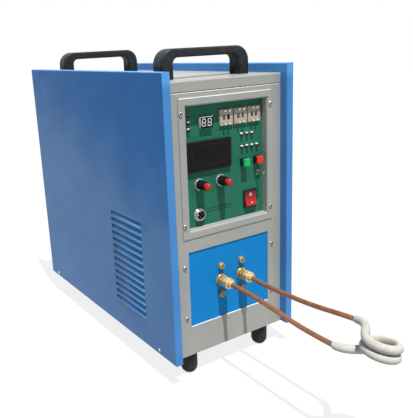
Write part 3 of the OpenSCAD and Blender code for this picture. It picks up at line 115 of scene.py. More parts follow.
class HeaterPanel(bpy.types.PropertyGroup):
    board: colour_property("Board", "Green control board", tint(36, 108, 86))
    print_ink: colour_property("Board print", "Thin dark lines printed on the board",
                               tint(20, 44, 38))
    screen: colour_property("Screen", "Dark screen frame", tint(19, 18, 22))
    dial: colour_property("Dial", "Cream push-wheel dials", tint(168, 161, 146))
    digit: colour_property("Digit", "Digits on the wheels", tint(28, 26, 26))
    green_cap: colour_property("Start cap", "Start button", tint(16, 166, 90))
    red_cap: colour_property("Stop cap", "Stop button, knob caps", tint(204, 48, 40))
    rocker: colour_property("Rocker", "Power rocker", tint(176, 42, 36))
    black: colour_property("Black plastic", "Switch bodies and knobs", tint(24, 25, 28))
    start_digits: bpy.props.StringProperty(name="Wheel digits", default="112041",
                                           description="Digit that each wheel shows at rest")


class HeaterOutput(bpy.types.PropertyGroup):
    brass: colour_property("Brass", "Fittings, nuts and bolts", tint(200, 162, 96))
    copper: colour_property("Copper", "Tube of the work coil", tint(160, 110, 78))
    stain: colour_property("Heat stain", "Darkened copper", tint(112, 72, 48))
    sleeve: colour_property("Sleeve", "Woven glass-fibre sleeve", tint(190, 189, 186))
    scorch: colour_property("Scorch", "Marks that heat leaves on the sleeve", tint(146, 124, 104))
    braid: length_property("Braid pitch", "Width of one braided strand", 0.9 * MM)


class HeaterStudio(bpy.types.PropertyGroup):
    sun: bpy.props.FloatProperty(name="Sun", description="Strength of the sun lamp",
                                 min=0, default=5.1)
    sky: bpy.props.FloatProperty(name="Sky", description="Strength of the world's light",
                                 min=0, default=0.36)
    floor: colour_property("Floor", "Pale floor as its light falls on the machine",
                           tint(170, 170, 168))


# Shader node helpers
def add(tree, kind, **settings):
    node = tree.nodes.new("ShaderNode" + kind)
    for name, value in settings.items():
        if hasattr(node, name):
            setattr(node, name, value)
        else:
            node.inputs[name.replace("_", " ")].default_value = value
    return node


def link(value, socket):
    socket.id_data.links.new(value, socket)


def feed(socket, value):
    """Links the socket to another's output, or sets it to a plain value."""
    if isinstance(value, bpy.types.NodeSocket):
        link(value, socket)
    else:
        socket.default_value = value


def mix(tree, factor, first, second, blend="MIX"):
    node = add(tree, "Mix", data_type="RGBA", blend_type=blend)
    for socket, value in zip((node.inputs[0], node.inputs[6], node.inputs[7]),
                             (factor, first, second)):
        feed(socket, value)
    return node.outputs[2]


def sums(operation, first, second=None, clamp=False):
    node = add(first.id_data, "Math", operation=operation, use_clamp=clamp)
    for socket, value in zip(node.inputs, (first, second)):
        if value is not None:
            feed(socket, value)
    return node.outputs[0]


def spread(value, from_low, from_high, to_low=0.0, to_high=1.0):
    node = add(value.id_data, "MapRange", clamp=True)
    for socket, number in zip(node.inputs, (value, from_low, from_high, to_low, to_high)):
        feed(socket, number)
    return node.outputs[0]


def noise_on(vector, scale, detail=2.0, rough=0.5):
    node = add(vector.id_data, "TexNoise", Scale=scale, Detail=detail, Roughness=rough)
    link(vector, node.inputs["Vector"])
    return node.outputs[0]


def times(first, second, clamp=False):
    return sums("MULTIPLY", first, second, clamp)


def object_place(tree):
    return add(tree, "TexCoord").outputs["Object"]


def axes(vector):
    """The X, Y and Z of a vector."""
    node = add(vector.id_data, "SeparateXYZ")
    link(vector, node.inputs[0])
    return node.outputs


def facing(tree):
    return axes(add(tree, "NewGeometry").outputs["Normal"])


def roughen(entry, leave, grain, mask):
    """Roughness from the group's gloss, a fine grain (low to high) and a mask with its share."""
    fine = spread(grain[0], 0.3, 0.7, *grain[1:])
    rough = sums("ADD", entry["Gloss"], fine)
    link(sums("ADD", rough, times(*mask)), leave["Roughness"])


def start_group(name, ins, outs):
    """A node group with named sockets; returns the tree, its inputs and its output node."""
    tree = bpy.data.node_groups.new(name, "ShaderNodeTree")
    kinds = {"C": "NodeSocketColor", "F": "NodeSocketFloat"}
    for label, kind in ins:
        tree.interface.new_socket(label, in_out="INPUT", socket_type=kinds[kind])
    for label, kind in outs:
        tree.interface.new_socket(label, in_out="OUTPUT", socket_type=kinds[kind])
    entry = tree.nodes.new("NodeGroupInput")
    leave = tree.nodes.new("NodeGroupOutput")
    return tree, entry.outputs, leave.inputs


def paint_group():
    """Powder coat: orange peel, faint mottling and dust on what faces up."""
    tree, entry, leave = start_group(
        "Powder coat", (("Paint", "C"), ("Dust", "F"), ("Gloss", "F")), SURFACE)
    place = object_place(tree)
    mottle = noise_on(place, 9, 3)
    cloud = noise_on(place, 34, 4, 0.6)
    up = spread(facing(tree)[2], 0.3, 0.95)
    dusty = times(times(up, entry["Dust"]), spread(cloud, 0.35, 0.7))
    dark = mix(tree, 1.0, entry["Paint"], (0.88, 0.89, 0.91, 1), "MULTIPLY")
    toned = mix(tree, spread(mottle, 0.35, 0.65), dark, entry["Paint"])
    link(mix(tree, dusty, toned, (0.55, 0.53, 0.5, 1)), leave["Color"])
    roughen(entry, leave, (cloud, -0.05, 0.07), (dusty, 0.3))
    link(noise_on(place, 1300, 1), leave["Height"])
    return tree


def wear_group():
    """Edges worn lighter, found from the difference between sharp and rounded normals."""
    tree, entry, leave = start_group(
        "Edge wear", (("Color", "C"), ("Worn", "C"), ("Amount", "F"), ("Patchiness", "F")),
        (("Color", "C"), ("Mask", "F")))
    rounded = add(tree, "Bevel", samples=4, Radius=0.7 * MM)
    turn = add(tree, "VectorMath", operation="DOT_PRODUCT")
    link(rounded.outputs[0], turn.inputs[0])
    link(add(tree, "NewGeometry").outputs["Normal"], turn.inputs[1])
    edge = spread(turn.outputs["Value"], 0.99, 0.86)
    patches = add(tree, "TexNoise", Detail=4.0, Roughness=0.65)
    link(object_place(tree), patches.inputs["Vector"])
    link(entry["Patchiness"], patches.inputs["Scale"])
    mask = times(times(edge, entry["Amount"]), spread(patches.outputs[0], 0.4, 0.62), True)
    link(mix(tree, mask, entry["Color"], entry["Worn"]), leave["Color"])
    link(mask, leave["Mask"])
    return tree


def moulded_group():
    """Moulded plastic: spark-eroded skin with faint scuffs and paler dust."""
    tree, entry, leave = start_group(
        "Moulded skin", (("Plastic", "C"), ("Gloss", "F"), ("Scuff", "F")), SURFACE)
    place = object_place(tree)
    skin = noise_on(place, 2600, 2)
    scuff = times(spread(noise_on(place, 120, 5, 0.7), 0.52, 0.7), entry["Scuff"])
    pale = mix(tree, 0.3, entry["Plastic"], (0.6, 0.6, 0.6, 1))
    link(mix(tree, scuff, entry["Plastic"], pale), leave["Color"])
    roughen(entry, leave, (skin, -0.03, 0.05), (scuff, 0.25))
    link(skin, leave["Height"])
    return tree


def metal_group():
    """Turned or drawn metal: fine tool lines, handling marks and tarnish."""
    tree, entry, leave = start_group(
        "Worked metal",
        (("Metal", "C"), ("Tarnish", "C"), ("Amount", "F"), ("Gloss", "F")), SURFACE)
    place = object_place(tree)
    tooling = noise_on(place, 900, 3, 0.6)
    blotch = spread(noise_on(place, 150, 4, 0.6), 0.42, 0.68)
    aged = times(blotch, entry["Amount"], True)
    link(mix(tree, aged, entry["Metal"], entry["Tarnish"]), leave["Color"])
    roughen(entry, leave, (tooling, -0.05, 0.08), (aged, 0.2))
    link(tooling, leave["Height"])
    return tree


def braid_group():
    """Two sets of strands crossing on the piece's own UV map, measured in metres."""
    tree, entry, leave = start_group(
        "Braid", (("Yarn", "C"), ("Scorch", "C"), ("Pitch", "F"), ("Scorched", "F")),
        (("Color", "C"), ("Height", "F")))
    across = axes(add(tree, "UVMap", uv_map="UVMap").outputs[0])
    waves = []
    for way in ("ADD", "SUBTRACT"):
        along = times(sums(way, across[0], across[1]), TAU)
        waves.append(sums("SINE", sums("DIVIDE", along, entry["Pitch"])))
    weave = sums("MAXIMUM", *waves)
    place = object_place(tree)
    stain = spread(noise_on(place, 60, 4, 0.6), 0.46, 0.72)
    # Painted shade: the valleys between strands are up to 14% darker
    valley = spread(weave, -0.4, 0.9, 0.86, 1.0)
    shade = add(tree, "CombineColor")
    for socket in shade.inputs:
        link(valley, socket)
    woven = mix(tree, 1.0, entry["Yarn"], shade.outputs[0], "MULTIPLY")
    marked = times(stain, entry["Scorched"], True)
    link(mix(tree, marked, woven, entry["Scorch"]), leave["Color"])
    fuzz = noise_on(place, 1900, 3)
    link(sums("ADD", times(weave, 0.5), fuzz), leave["Height"])
    return tree


def place_group(tree, maker, **values):
    """Places a node group, which is made once and shared; returns its outputs."""
    if maker not in GROUPS:
        GROUPS[maker] = maker()
    node = tree.nodes.new("ShaderNodeGroup")
    node.node_tree = GROUPS[maker]
    for name, value in values.items():
        node.inputs[name].default_value = value
    return node.outputs


def bare_material(name, sockets):
    material = bpy.data.materials.new(name)
    material.use_nodes = True
    shader = material.node_tree.nodes["Principled BSDF"]
    for socket, value in sockets.items():
        shader.inputs[socket].default_value = value
    return material, material.node_tree, shader


def bump(shader, height, depth):
    node = add(shader.id_data, "Bump", Strength=0.6, Distance=depth)
    link(height, node.inputs["Height"])
    link(node.outputs[0], shader.inputs["Normal"])


def finish(shader, outputs, depth):
    for socket, name in (("Color", "Base Color"), ("Roughness", "Roughness")):
        link(outputs[socket], shader.inputs[name])
    bump(shader, outputs["Height"], depth)


def worn(shader, colour, wear, amount):
    outputs = place_group(shader.id_data, wear_group, Worn=wear, Amount=amount, Patchiness=260)
    link(colour, outputs["Color"].node.inputs["Color"])
    link(outputs["Color"], shader.inputs["Base Color"])


def painted(name, paint, dust=0.1, gloss=0.42, specular=0.3, wear=0.0):
    material, tree, shader = bare_material(name, {"Specular IOR Level": specular})
    outputs = place_group(tree, paint_group, Paint=paint, Dust=dust, Gloss=gloss)
    finish(shader, outputs, PAINT_DEPTH)
    if wear:
        worn(shader, outputs["Color"], BARE_METAL, wear)
    return material


def moulded(name, plastic, gloss=0.42, scuff=0.1, specular=0.2, depth=0.03, wear=0.0):
    material, tree, shader = bare_material(name, {"Specular IOR Level": specular})
    outputs = place_group(tree, moulded_group, Plastic=plastic, Gloss=gloss, Scuff=scuff)
    finish(shader, outputs, depth * MM)
    if wear:
        worn(shader, outputs["Color"], WORN_PLASTIC, wear)
    return material


def metallic(name, metal, tarnish, amount=0.3, gloss=0.28, depth=0.02, pure=0.7):
    material, tree, shader = bare_material(name, {"Metallic": pure})
    outputs = place_group(tree, metal_group,
                          Metal=metal, Tarnish=tarnish, Amount=amount, Gloss=gloss)
    finish(shader, outputs, depth * MM)
    return material


def glassy(name, colour, gloss, specular):
    material, tree, shader = bare_material(name, {"Specular IOR Level": specular})
    outputs = place_group(tree, moulded_group, Plastic=colour, Gloss=gloss, Scuff=0.03)
    finish(shader, outputs, 0.004 * MM)
    return material


# Mesh helpers
def outwards(place):
    """Local Z out of the front, local Y up."""
    return Matrix.Translation(place) @ Matrix.Rotation(math.pi / 2, 4, "X")


def aimed(place, way):
    return Matrix.Translation(place) @ Vector(way).to_track_quat("Z", "Y").to_matrix().to_4x4()


def mesh_of(part, name):
    mesh = bpy.data.meshes.new(name)
    part.to_mesh(mesh)
    part.free()
    return mesh


def merge(target, part):
    mesh = mesh_of(part, "part")
    target.from_mesh(mesh)
    bpy.data.meshes.remove(mesh)


def verts_in(made):
    return [g for g in made["geom"] if isinstance(g, bmesh.types.BMVert)]


def edges_among(verts):
    return list({e for v in verts for e in v.link_edges if all(w in verts for w in e.verts)})


def join(target, part, place=None, slot=0, flat=False, marked=()):
    """Closes a part, puts it in place and adds it to the piece's bmesh."""
    bmesh.ops.remove_doubles(part, verts=part.verts, dist=1e-7)
    bmesh.ops.recalc_face_normals(part, faces=part.faces)
    if place is not None:
        bmesh.ops.transform(part, matrix=place, verts=part.verts)
    for face in part.faces:
        face.material_index = 1 if face in marked else slot
        face.smooth = not flat
    merge(target, part)


def lathe(profile, steps=40, unit=MM):
    """A bmesh spun round Z from (radius, height) pairs, in millimetres or another unit."""
    part = bmesh.new()
    points = [part.verts.new((radius * unit, 0, height * unit)) for radius, height in profile]
    edges = [part.edges.new(pair) for pair in zip(points, points[1:])]
    bmesh.ops.spin(part, geom=points + edges, cent=(0, 0, 0), axis=(0, 0, 1), angle=TAU,
                   steps=steps, use_merge=True)
    return part


def block(size, centre=(0, 0, 0), bevel=0.0):
    """A box, with its edges bevelled where a width is given."""
    part = bmesh.new()
    bmesh.ops.create_cube(part, size=1)
    bmesh.ops.scale(part, vec=size, verts=part.verts)
    bmesh.ops.translate(part, vec=centre, verts=part.verts)
    if bevel:
        bmesh.ops.bevel(part, geom=part.edges[:], offset=bevel, segments=2, profile=0.5,
                        affect="EDGES", material=-1)
    return part


def plate(points, thick):
    """A flat outline in XY, drawn out along Z."""
    part = bmesh.new()
    face = part.faces.new([part.verts.new((x, y, 0)) for x, y in points])
    raised = bmesh.ops.extrude_face_region(part, geom=[face])
    bmesh.ops.translate(part, vec=(0, 0, thick), verts=verts_in(raised))
    bmesh.ops.recalc_face_normals(part, faces=part.faces)
    return part


def hexagon(across, low, high, chamfer):
    """A hexagon bar, in millimetres, whose ends are turned to a cone as a nut's are."""
    part = bmesh.new()
    flat = across / 2
    corner = flat / math.cos(math.pi / 6)
    rings = ((low, flat), (low + chamfer, corner), (high - chamfer, corner), (high, flat))
    verts = bmesh.ops.create_circle(part, segments=48, radius=1, cap_ends=True)["verts"]
    for level, (height, limit) in enumerate(rings):
        if level:
            verts = verts_in(bmesh.ops.extrude_edge_only(part, edges=edges_among(verts)))
        for vert in verts:
            angle = math.atan2(vert.co.y, vert.co.x)
            reach = flat / math.cos((angle + math.pi / 6) % (math.pi / 3) - math.pi / 6)
            vert.co = Vector((math.cos(angle), math.sin(angle), 0)) * min(reach, limit) * MM
            vert.co.z = height * MM
    bmesh.ops.contextual_create(part, geom=[e for e in part.edges if len(e.link_faces) == 1])
    return part


def sweep(path, radii, sides, cap=True):
    """A tube along a path, with a UV map in metres: across by around, along by length."""
    if not isinstance(radii, list):
        radii = [radii] * len(path)
    part = bmesh.new()
    ring = bmesh.ops.create_circle(part, segments=sides, radius=1)["verts"]
    unit = [v.co.copy() for v in ring]
    side = Vector((0, 0, 1))
    run = 0.0
    rings = []
    for index, place in enumerate(path):
        way = (path[min(index + 1, len(path) - 1)] - path[max(index - 1, 0)]).normalized()
        side = (side - way * side.dot(way)).normalized()
        over = way.cross(side)
        if index:
            run += (place - path[index - 1]).length
            lookup = {v: k for k, v in enumerate(ring)}
            made = bmesh.ops.extrude_edge_only(part, edges=edges_among(ring))
            ring = [None] * sides
            for vert in verts_in(made):
                for edge in vert.link_edges:
                    if edge.other_vert(vert) in lookup:
                        ring[lookup[edge.other_vert(vert)]] = vert
        for vert, spot in zip(ring, unit):
            vert.co = place + (side * spot.x + over * spot.y) * radii[index]
        rings.append((list(ring), run))
    where = {v: (k, run) for ring, run in rings for k, v in enumerate(ring)}
    uv = part.loops.layers.uv.new("UVMap")
    step = TAU * radii[len(radii) // 2] / sides
    for face in part.faces:
        wraps = {where[l.vert][0] for l in face.loops} >= {0, sides - 1}
        for loop in face.loops:
            around, along = where[loop.vert]
            loop[uv].uv = ((sides if wraps and around == 0 else around) * step, along)
    if cap:
        for ring, _ in (rings[0], rings[-1]):
            part.faces.new(ring)
    return part


def solids(node):
    """The corner points of each separate solid in a CAD node."""
    copy = bmesh.new()
    copy.from_mesh(NODES[node].data)
    bmesh.ops.remove_doubles(copy, verts=copy.verts, dist=1e-6)
    left, found = set(copy.verts), []
    while left:
        stack, group_points = [left.pop()], []
        while stack:
            vert = stack.pop()
            group_points.append(vert.co.copy())
            for edge in vert.link_edges:
                other = edge.other_vert(vert)
                if other in left:
                    left.remove(other)
                    stack.append(other)
        found.append(group_points)
    copy.free()
    return found


def corners(points):
    return (Vector([min(p[k] for p in points) for k in range(3)]),
            Vector([max(p[k] for p in points) for k in range(3)]))


def solid_boxes(node):
    """Low corner, high corner and middle of each separate solid in a CAD node."""
    for points in solids(node):
        low, high = corners(points)
        yield low, high, (low + high) / 2


def soften(obj, width, weld=False):
    """Radii on the edges, by modifiers; CAD meshes are first welded and their flats joined."""
    if weld:
        obj.modifiers.new("Weld", "WELD").merge_threshold = WELD_GAP
        flatten = obj.modifiers.new("Flats", "DECIMATE")
        flatten.decimate_type = "DISSOLVE"
        flatten.angle_limit = FLAT_ANGLE
    if width:
        edge = obj.modifiers.new("Edges", "BEVEL")
        edge.width, edge.segments = width, 2
        edge.limit_method, edge.angle_limit = "ANGLE", SHARP_ANGLE
        edge.harden_normals = True
    normal = obj.modifiers.new("Normals", "WEIGHTED_NORMAL")
    normal.keep_sharp = True


def dress(material, width, *names):
    """Gives CAD nodes their material and the small radii that their edges show."""
    for name in names:
        obj = NODES[name]
        obj.data.materials.clear()
        obj.data.materials.append(material)
        for face in obj.data.polygons:
            face.use_smooth = True
        soften(obj, width, weld=True)


def piece(name, part, body, materials, replaces=(), width=0.0):
    """Makes a piece that rides on a body and takes the place of CAD nodes."""
    mesh = mesh_of(part, name)
    obj = bpy.data.objects.new(name, mesh)
    bpy.context.collection.objects.link(obj)
    for material in materials:
        mesh.materials.append(material)
    if width is not None:
        soften(obj, width)
    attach(obj, body)
    if replaces:
        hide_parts(*replaces)
    return obj


def glyphs(text, height, thick):
    """Characters as a bmesh, centred on the origin in XY."""
    curve = bpy.data.curves.new("glyph", "FONT")
    curve.body, curve.size, curve.extrude = text, height / DIGIT_SHARE, thick / 2
    curve.align_x, curve.align_y = "CENTER", "CENTER"
    curve.resolution_u = 3
    holder = bpy.data.objects.new("glyph", curve)
    bpy.context.collection.objects.link(holder)
    bpy.context.view_layer.update()
    mesh = bpy.data.meshes.new_from_object(holder)
    part = bmesh.new()
    part.from_mesh(mesh)
    bpy.data.objects.remove(holder)
    bpy.data.curves.remove(curve)
    bpy.data.meshes.remove(mesh)
    low, high = corners([v.co for v in part.verts])
    bmesh.ops.translate(part, vec=-(low + high) / 2, verts=part.verts)
    return part


# Work coil: the route of part.scad, in its own millimetres
TUBE_R, SLEEVE_R, COIL_R, COIL_PITCH = 3.4, 5.5, 18.8, 11.6
COIL_START, COIL_TURN = 70, 645
LEAN = Vector((0.17, -0.04, 1))
BEND_SHARES = (0.85, 0.85, 0.75, 1.35, 0.32)
TERM_X, LEAD_X, TERM_Z, PLATE_FACE = 2, 19.5, 142.5, PLATE_Y / MM
TUBE_START = PLATE_FACE - 13
LEAD_START, LEAD_END = PLATE_FACE - 28, -303.9
SLEEVE_LOW, SLEEVE_HIGH = 130, 151.5
COIL_AXIS = Vector((4, -354.3, 129.4))


def helix(turned):
    first = Vector((0, 1, 0)).cross(LEAN).normalized()
    second = LEAN.cross(first).normalized()
    angle = math.radians(COIL_START - turned)
    return (COIL_AXIS + LEAN * COIL_PITCH * turned / 360
            + COIL_R * (math.cos(angle) * first + math.sin(angle) * second))


def helix_way(turned):
    return (helix(turned + 1) - helix(turned - 1)).normalized()


def bezier(a, b, c, d, t):
    return (1 - t) ** 3 * a + 3 * t * (1 - t) ** 2 * b + 3 * t * t * (1 - t) * c + t ** 3 * d


def lead(side, end_z, wave, sag, steps=60):
    x = TERM_X + side * LEAD_X
    points = [Vector((x, TUBE_START, TERM_Z))]
    for step in range(steps + 1):
        t = step / steps
        rise = t * t * (3 - 2 * t)
        points.append(Vector((x, LEAD_START + (LEAD_END - LEAD_START) * t,
                              TERM_Z + (end_z - TERM_Z) * rise
                              + (wave * math.sin(TAU * t) - sag) * math.sin(math.pi * t))))
    return points


def sleeve_route(steps=30):
    start = Vector((TERM_X - LEAD_X, LEAD_END, SLEEVE_LOW))
    end = Vector((TERM_X + LEAD_X, LEAD_END, SLEEVE_HIGH))
    first, last = helix(0), helix(COIL_TURN)
    a, b, c, d, e = (share * COIL_R for share in BEND_SHARES)
    ways = [t / steps for t in range(steps)]
    rise = [bezier(start, start - Vector((0, a, 0)), first - b * helix_way(0), first, t)
            for t in ways]
    turns = [helix(angle) for angle in range(0, COIL_TURN, 5)]
    leave = [bezier(last, last + c * helix_way(COIL_TURN), end - Vector((0, d, -e)), end, t)
             for t in ways + [1.0]]
    return rise + turns + leave


def in_metres(points):
    return [p * MM for p in points]


class HEATER_OT_studio(bpy.types.Operator):
    """Pale floor, sun, sky and the camera at the photograph's angle"""
    bl_idname = "heater.studio"
    bl_label = "Studio"

    # The photograph's camera: its place, its angles, and its lens in pixels of the photograph
    eye = Vector((-502.77, -722.94, 486.88)) * MM
    azimuth, dip, roll = -0.5663, 0.26369, -0.04922
    focal, centre_x, centre_y = 568.53, 171.81, 199.24
    frame_w, frame_h, sensor = 413, 418, 36.0
    # Width of the sun in degrees, its colour and where it stands
    sun_wide, sun_colour, sun_from = 0.8, (1.0, 0.985, 0.955), (-0.056, -0.371, 0.927)
    horizon, zenith, white = (0.90, 0.92, 0.95, 1), (0.98, 1.02, 1.12, 1), (1, 1, 1, 1)
    # The floor glows nearly white in the picture, and keeps a faint shadow on top of that
    floor_reach, floor_shade, floor_glow = 6, (0.12, 0.12, 0.12, 1), 0.84

    def execute(self, context):
        self.make_camera(context)
        self.make_sun(context)
        self.make_world(context)
        self.make_floor(context)
        context.scene.view_settings.view_transform = "Standard"
        return {"FINISHED"}

    def make_camera(self, context):
        data = bpy.data.cameras.new("Camera")
        camera = bpy.data.objects.new("Camera", data)
        context.collection.objects.link(camera)
        way = Vector((-math.sin(self.azimuth) * math.cos(self.dip),
                      math.cos(self.azimuth) * math.cos(self.dip), -math.sin(self.dip)))
        right = way.cross(Vector((0, 0, 1))).normalized()
        up = right.cross(way)
        turned = math.cos(self.roll) * right + math.sin(self.roll) * up
        above = -math.sin(self.roll) * right + math.cos(self.roll) * up
        turn = Matrix((turned, above, -way)).transposed()
        camera.matrix_world = Matrix.Translation(self.eye) @ turn.to_4x4()
        longest = max(self.frame_w, self.frame_h)
        data.sensor_width = self.sensor
        data.lens = self.focal * self.sensor / longest
        data.shift_x = (self.frame_w / 2 - self.centre_x) / longest
        data.shift_y = (self.centre_y - self.frame_h / 2) / longest
        data.clip_start = 0.01
        context.scene.camera = camera

    def make_sun(self, context):
        light = bpy.data.lights.new("Sun", "SUN")
        light.energy = context.scene.heater_studio.sun
        light.angle = math.radians(self.sun_wide)
        light.color = self.sun_colour
        sun = bpy.data.objects.new("Sun", light)
        sun.matrix_world = aimed((0, 0, 2), self.sun_from)
        context.collection.objects.link(sun)

    def make_world(self, context):
        world = bpy.data.worlds.new("Sky")
        context.scene.world = world
        world.use_nodes = True
        tree = world.node_tree
        tree.nodes.clear()
        up = axes(add(tree, "TexCoord").outputs["Generated"])[2]
        soft = add(tree, "Background", Strength=context.scene.heater_studio.sky)
        link(mix(tree, spread(up, -0.1, 0.9), self.horizon, self.zenith), soft.inputs["Color"])
        white = add(tree, "Background", Color=self.white, Strength=1.0)
        self.by_ray(tree, soft.outputs[0], white.outputs[0], "OutputWorld")

    def by_ray(self, tree, lighting, seen, end):
        """One shader lights the machine; the other is what the camera and reflections see."""
        rays = add(tree, "LightPath").outputs
        direct = sums("MAXIMUM", rays["Is Camera Ray"],
                      sums("MAXIMUM", rays["Is Glossy Ray"], rays["Is Transmission Ray"]))
        both = add(tree, "MixShader")
        for value, socket in zip((direct, lighting, seen), both.inputs):
            link(value, socket)
        link(both.outputs[0], add(tree, end).inputs["Surface"])

    def make_floor(self, context):
        part = bmesh.new()
        bmesh.ops.create_grid(part, x_segments=4, y_segments=4, size=self.floor_reach)
        mesh = mesh_of(part, "floor")
        floor = bpy.data.objects.new("floor", mesh)
        context.collection.objects.link(floor)
        material = bpy.data.materials.new("Floor")
        material.use_nodes = True
        tree = material.node_tree
        tree.nodes.clear()
        plain = add(tree, "BsdfDiffuse", Color=context.scene.heater_studio.floor)
        shadowed = add(tree, "BsdfDiffuse", Color=self.floor_shade)
        glow = add(tree, "Emission", Color=self.white, Strength=self.floor_glow)
        shown = add(tree, "AddShader")
        link(shadowed.outputs[0], shown.inputs[0])
        link(glow.outputs[0], shown.inputs[1])
        self.by_ray(tree, plain.outputs[0], shown.outputs[0], "OutputMaterial")
        mesh.materials.append(material)


class HEATER_OT_cabinet(bpy.types.Operator):
    """Powder-coated sheet metal, output plate, feet and handles"""
    bl_idname = "heater.cabinet"
    bl_label = "Cabinet"

    # Blues of the flank's top and foot (the paler foot a painted reflection) and of the inner
    # lips' foot and top (the lighter top painted light), and the heights between which the flank's
    # two meet
    blues = (40, 110, 180), (84, 134, 191), (72, 134, 198), (86, 156, 226)
    reflection_heights = 0.34, 0.24

    def execute(self, context):
        look = context.scene.heater_cabinet
        blue = self.blue_with_painted_light(look)
        grey = painted("Grey powder coat", look.front, 0.08, 0.36, 0.45, 0.3)
        azure = painted("Azure plate", look.plate, 0.04, 0.5, 0.1)
        dress(blue, look.fold, "left_side_panel", "right_side_panel")
        dress(grey, look.fold, "front_frame", "control_bezel", "top_cover", "rear_panel",
              "base_tray")
        dress(azure, look.edge, "output_plate")
        dress(moulded("Handle plastic", look.grip, 0.42, 0.1, 0.25, 0.05, 0.3), 0, "carry_handles")
        dress(moulded("Foot rubber", look.rubber, 0.6, 0.1, 0.2, 0.06), 0.8 * MM, "rubber_feet")
        self.make_louvres()
        # Painted highlights on sheet edges, and a painted shadow strip under the cover
        self.paint_edge_light(painted("Painted grey edge highlight", tint(226, 227, 223), 0.02, 0.4, 0.4),
                        moulded("Painted seam shadow", tint(30, 31, 32), 0.7, 0.1, 0.1))
        return {"FINISHED"}

    def blue_with_painted_light(self, look):
        """Blue powder coat: deep at the top of the flanks, paler low down and to the rear as a
        painted reflection; the inner lips are painted lighter towards their top, as painted light.
        """
        material, tree, shader = bare_material("Blue powder coat with painted light", {"Specular IOR Level": 0.12})
        coat = place_group(tree, paint_group, Paint=look.side, Dust=0.04, Gloss=0.42)
        deep, painted_reflection_blue, lip_shaded, lip_lit = (tint(*shade) for shade in self.blues)
        place = object_place(tree)
        spot = axes(place)
        out = sums("ABSOLUTE", spot[0])
        skin_low, skin_high = CASE_X - 0.8 * MM, CASE_X - 0.4 * MM
        sideways = spread(sums("ABSOLUTE", facing(tree)[0]), 0.7, 0.9)
        flank = times(sideways, spread(out, skin_low, skin_high))
        level = sums("SUBTRACT", spot[2], spread(spot[1], 0.0, 0.3, 0.0, 0.11))
        cloud = spread(noise_on(place, 7, 3), 0.3, 0.7, -0.04, 0.04)
        # Painted reflection: the flank's skin turns paler lower down and towards the rear
        toned = mix(tree, spread(sums("ADD", level, cloud), *self.reflection_heights), deep, painted_reflection_blue)
        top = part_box("left_side_panel")[1].z
        # Painted light: the inner lips turn lighter towards the panel's top
        inner = mix(tree, spread(spot[2], top - 22 * MM, top - 12 * MM), lip_shaded, lip_lit)
        plain = mix(tree, spread(out, skin_high, skin_low), look.side, inner)
        link(mix(tree, flank, plain, toned), coat["Color"].node.inputs["Paint"])
        finish(shader, coat, PAINT_DEPTH)
        worn(shader, coat["Color"], BARE_METAL, 0.4)
        return material

    def make_louvres(self):
        """The pressed blade in each louvre bulges out at its foot, where the sun reaches it; the
        blades take a lighter blue than the panel as a painted highlight.
        """
        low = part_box("left_side_panel")[0]
        bulge, rise, steps = 7.5, 9.0, 12
        curve = [(0.0, -0.5), (0.45, -0.3), (0.6, 0.2)]
        curve += [(0.6 - bulge * (k / steps) ** 2.3, 0.2 + rise * k / steps)
                  for k in range(1, steps + 1)]
        curve += [(-0.2, 0.2)]
        outline = [(x * MM, z * MM) for x, z in curve]
        for side, name in ((-1, "left"), (1, "right")):
            turn = Matrix(((side, 0, 0), (0, 0, 1), (0, 1, 0))).to_4x4()
            whole = bmesh.new()
            for step in range(LOUVRE_N):
                spot = (side * CASE_X, low.y + LOUVRE_Y, low.z + LOUVRE_Z + step * LOUVRE_PITCH)
                join(whole, plate(outline, LOUVRE_LONG), Matrix.Translation(spot) @ turn)
            # Painted highlight: a lighter blue than the panel's paint
            paint = painted(f"Louvre painted highlight {name}", tint(88, 148, 208), 0.02, 0.4, 0.08)
            piece(f"{name}_louvre_blades", whole, BODY, [paint], width=None)

    def paint_edge_light(self, edge_highlight_paint, rubber):
        """Light grey beads on the sheet edges that the sun reaches, as painted highlights, and a
        dark strip under the cover as a painted seam shadow.
        """
        low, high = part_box("control_bezel")
        frame_low, frame_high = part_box("front_frame")
        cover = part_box("top_cover")[0]
        wide = frame_high.x - frame_low.x - 5 * MM
        front = cover.y + 0.6 * MM
        whole = bmesh.new()
        # The third bar, in the second slot, is the painted seam shadow; the others are painted
        # highlights
        bars = (
            ((high.x - low.x - 3 * MM, 1.6 * MM, 1.5 * MM),
             ((low.x + high.x) / 2, low.y + 0.6 * MM, high.z - 0.5 * MM), 0.5 * MM, 0),
            ((wide, 1.6 * MM, 1.5 * MM), (0, front, cover.z - 1.8 * MM), 0.5 * MM, 0),
            ((wide, 1.2 * MM, 1.5 * MM), (0, front + 0.1 * MM, cover.z - 0.5 * MM), 0, 1),
            ((OPENING_W - 1 * MM, 1.7 * MM, 0.9 * MM),
             (0, front + 0.15 * MM, OPENING_Z - 0.2 * MM), 0.3 * MM, 0))
        for size, centre, bevel, slot in bars:
            join(whole, block(size, centre, bevel), slot=slot)
        piece("painted_edge_light_strips", whole, BODY, [edge_highlight_paint, rubber], width=None)


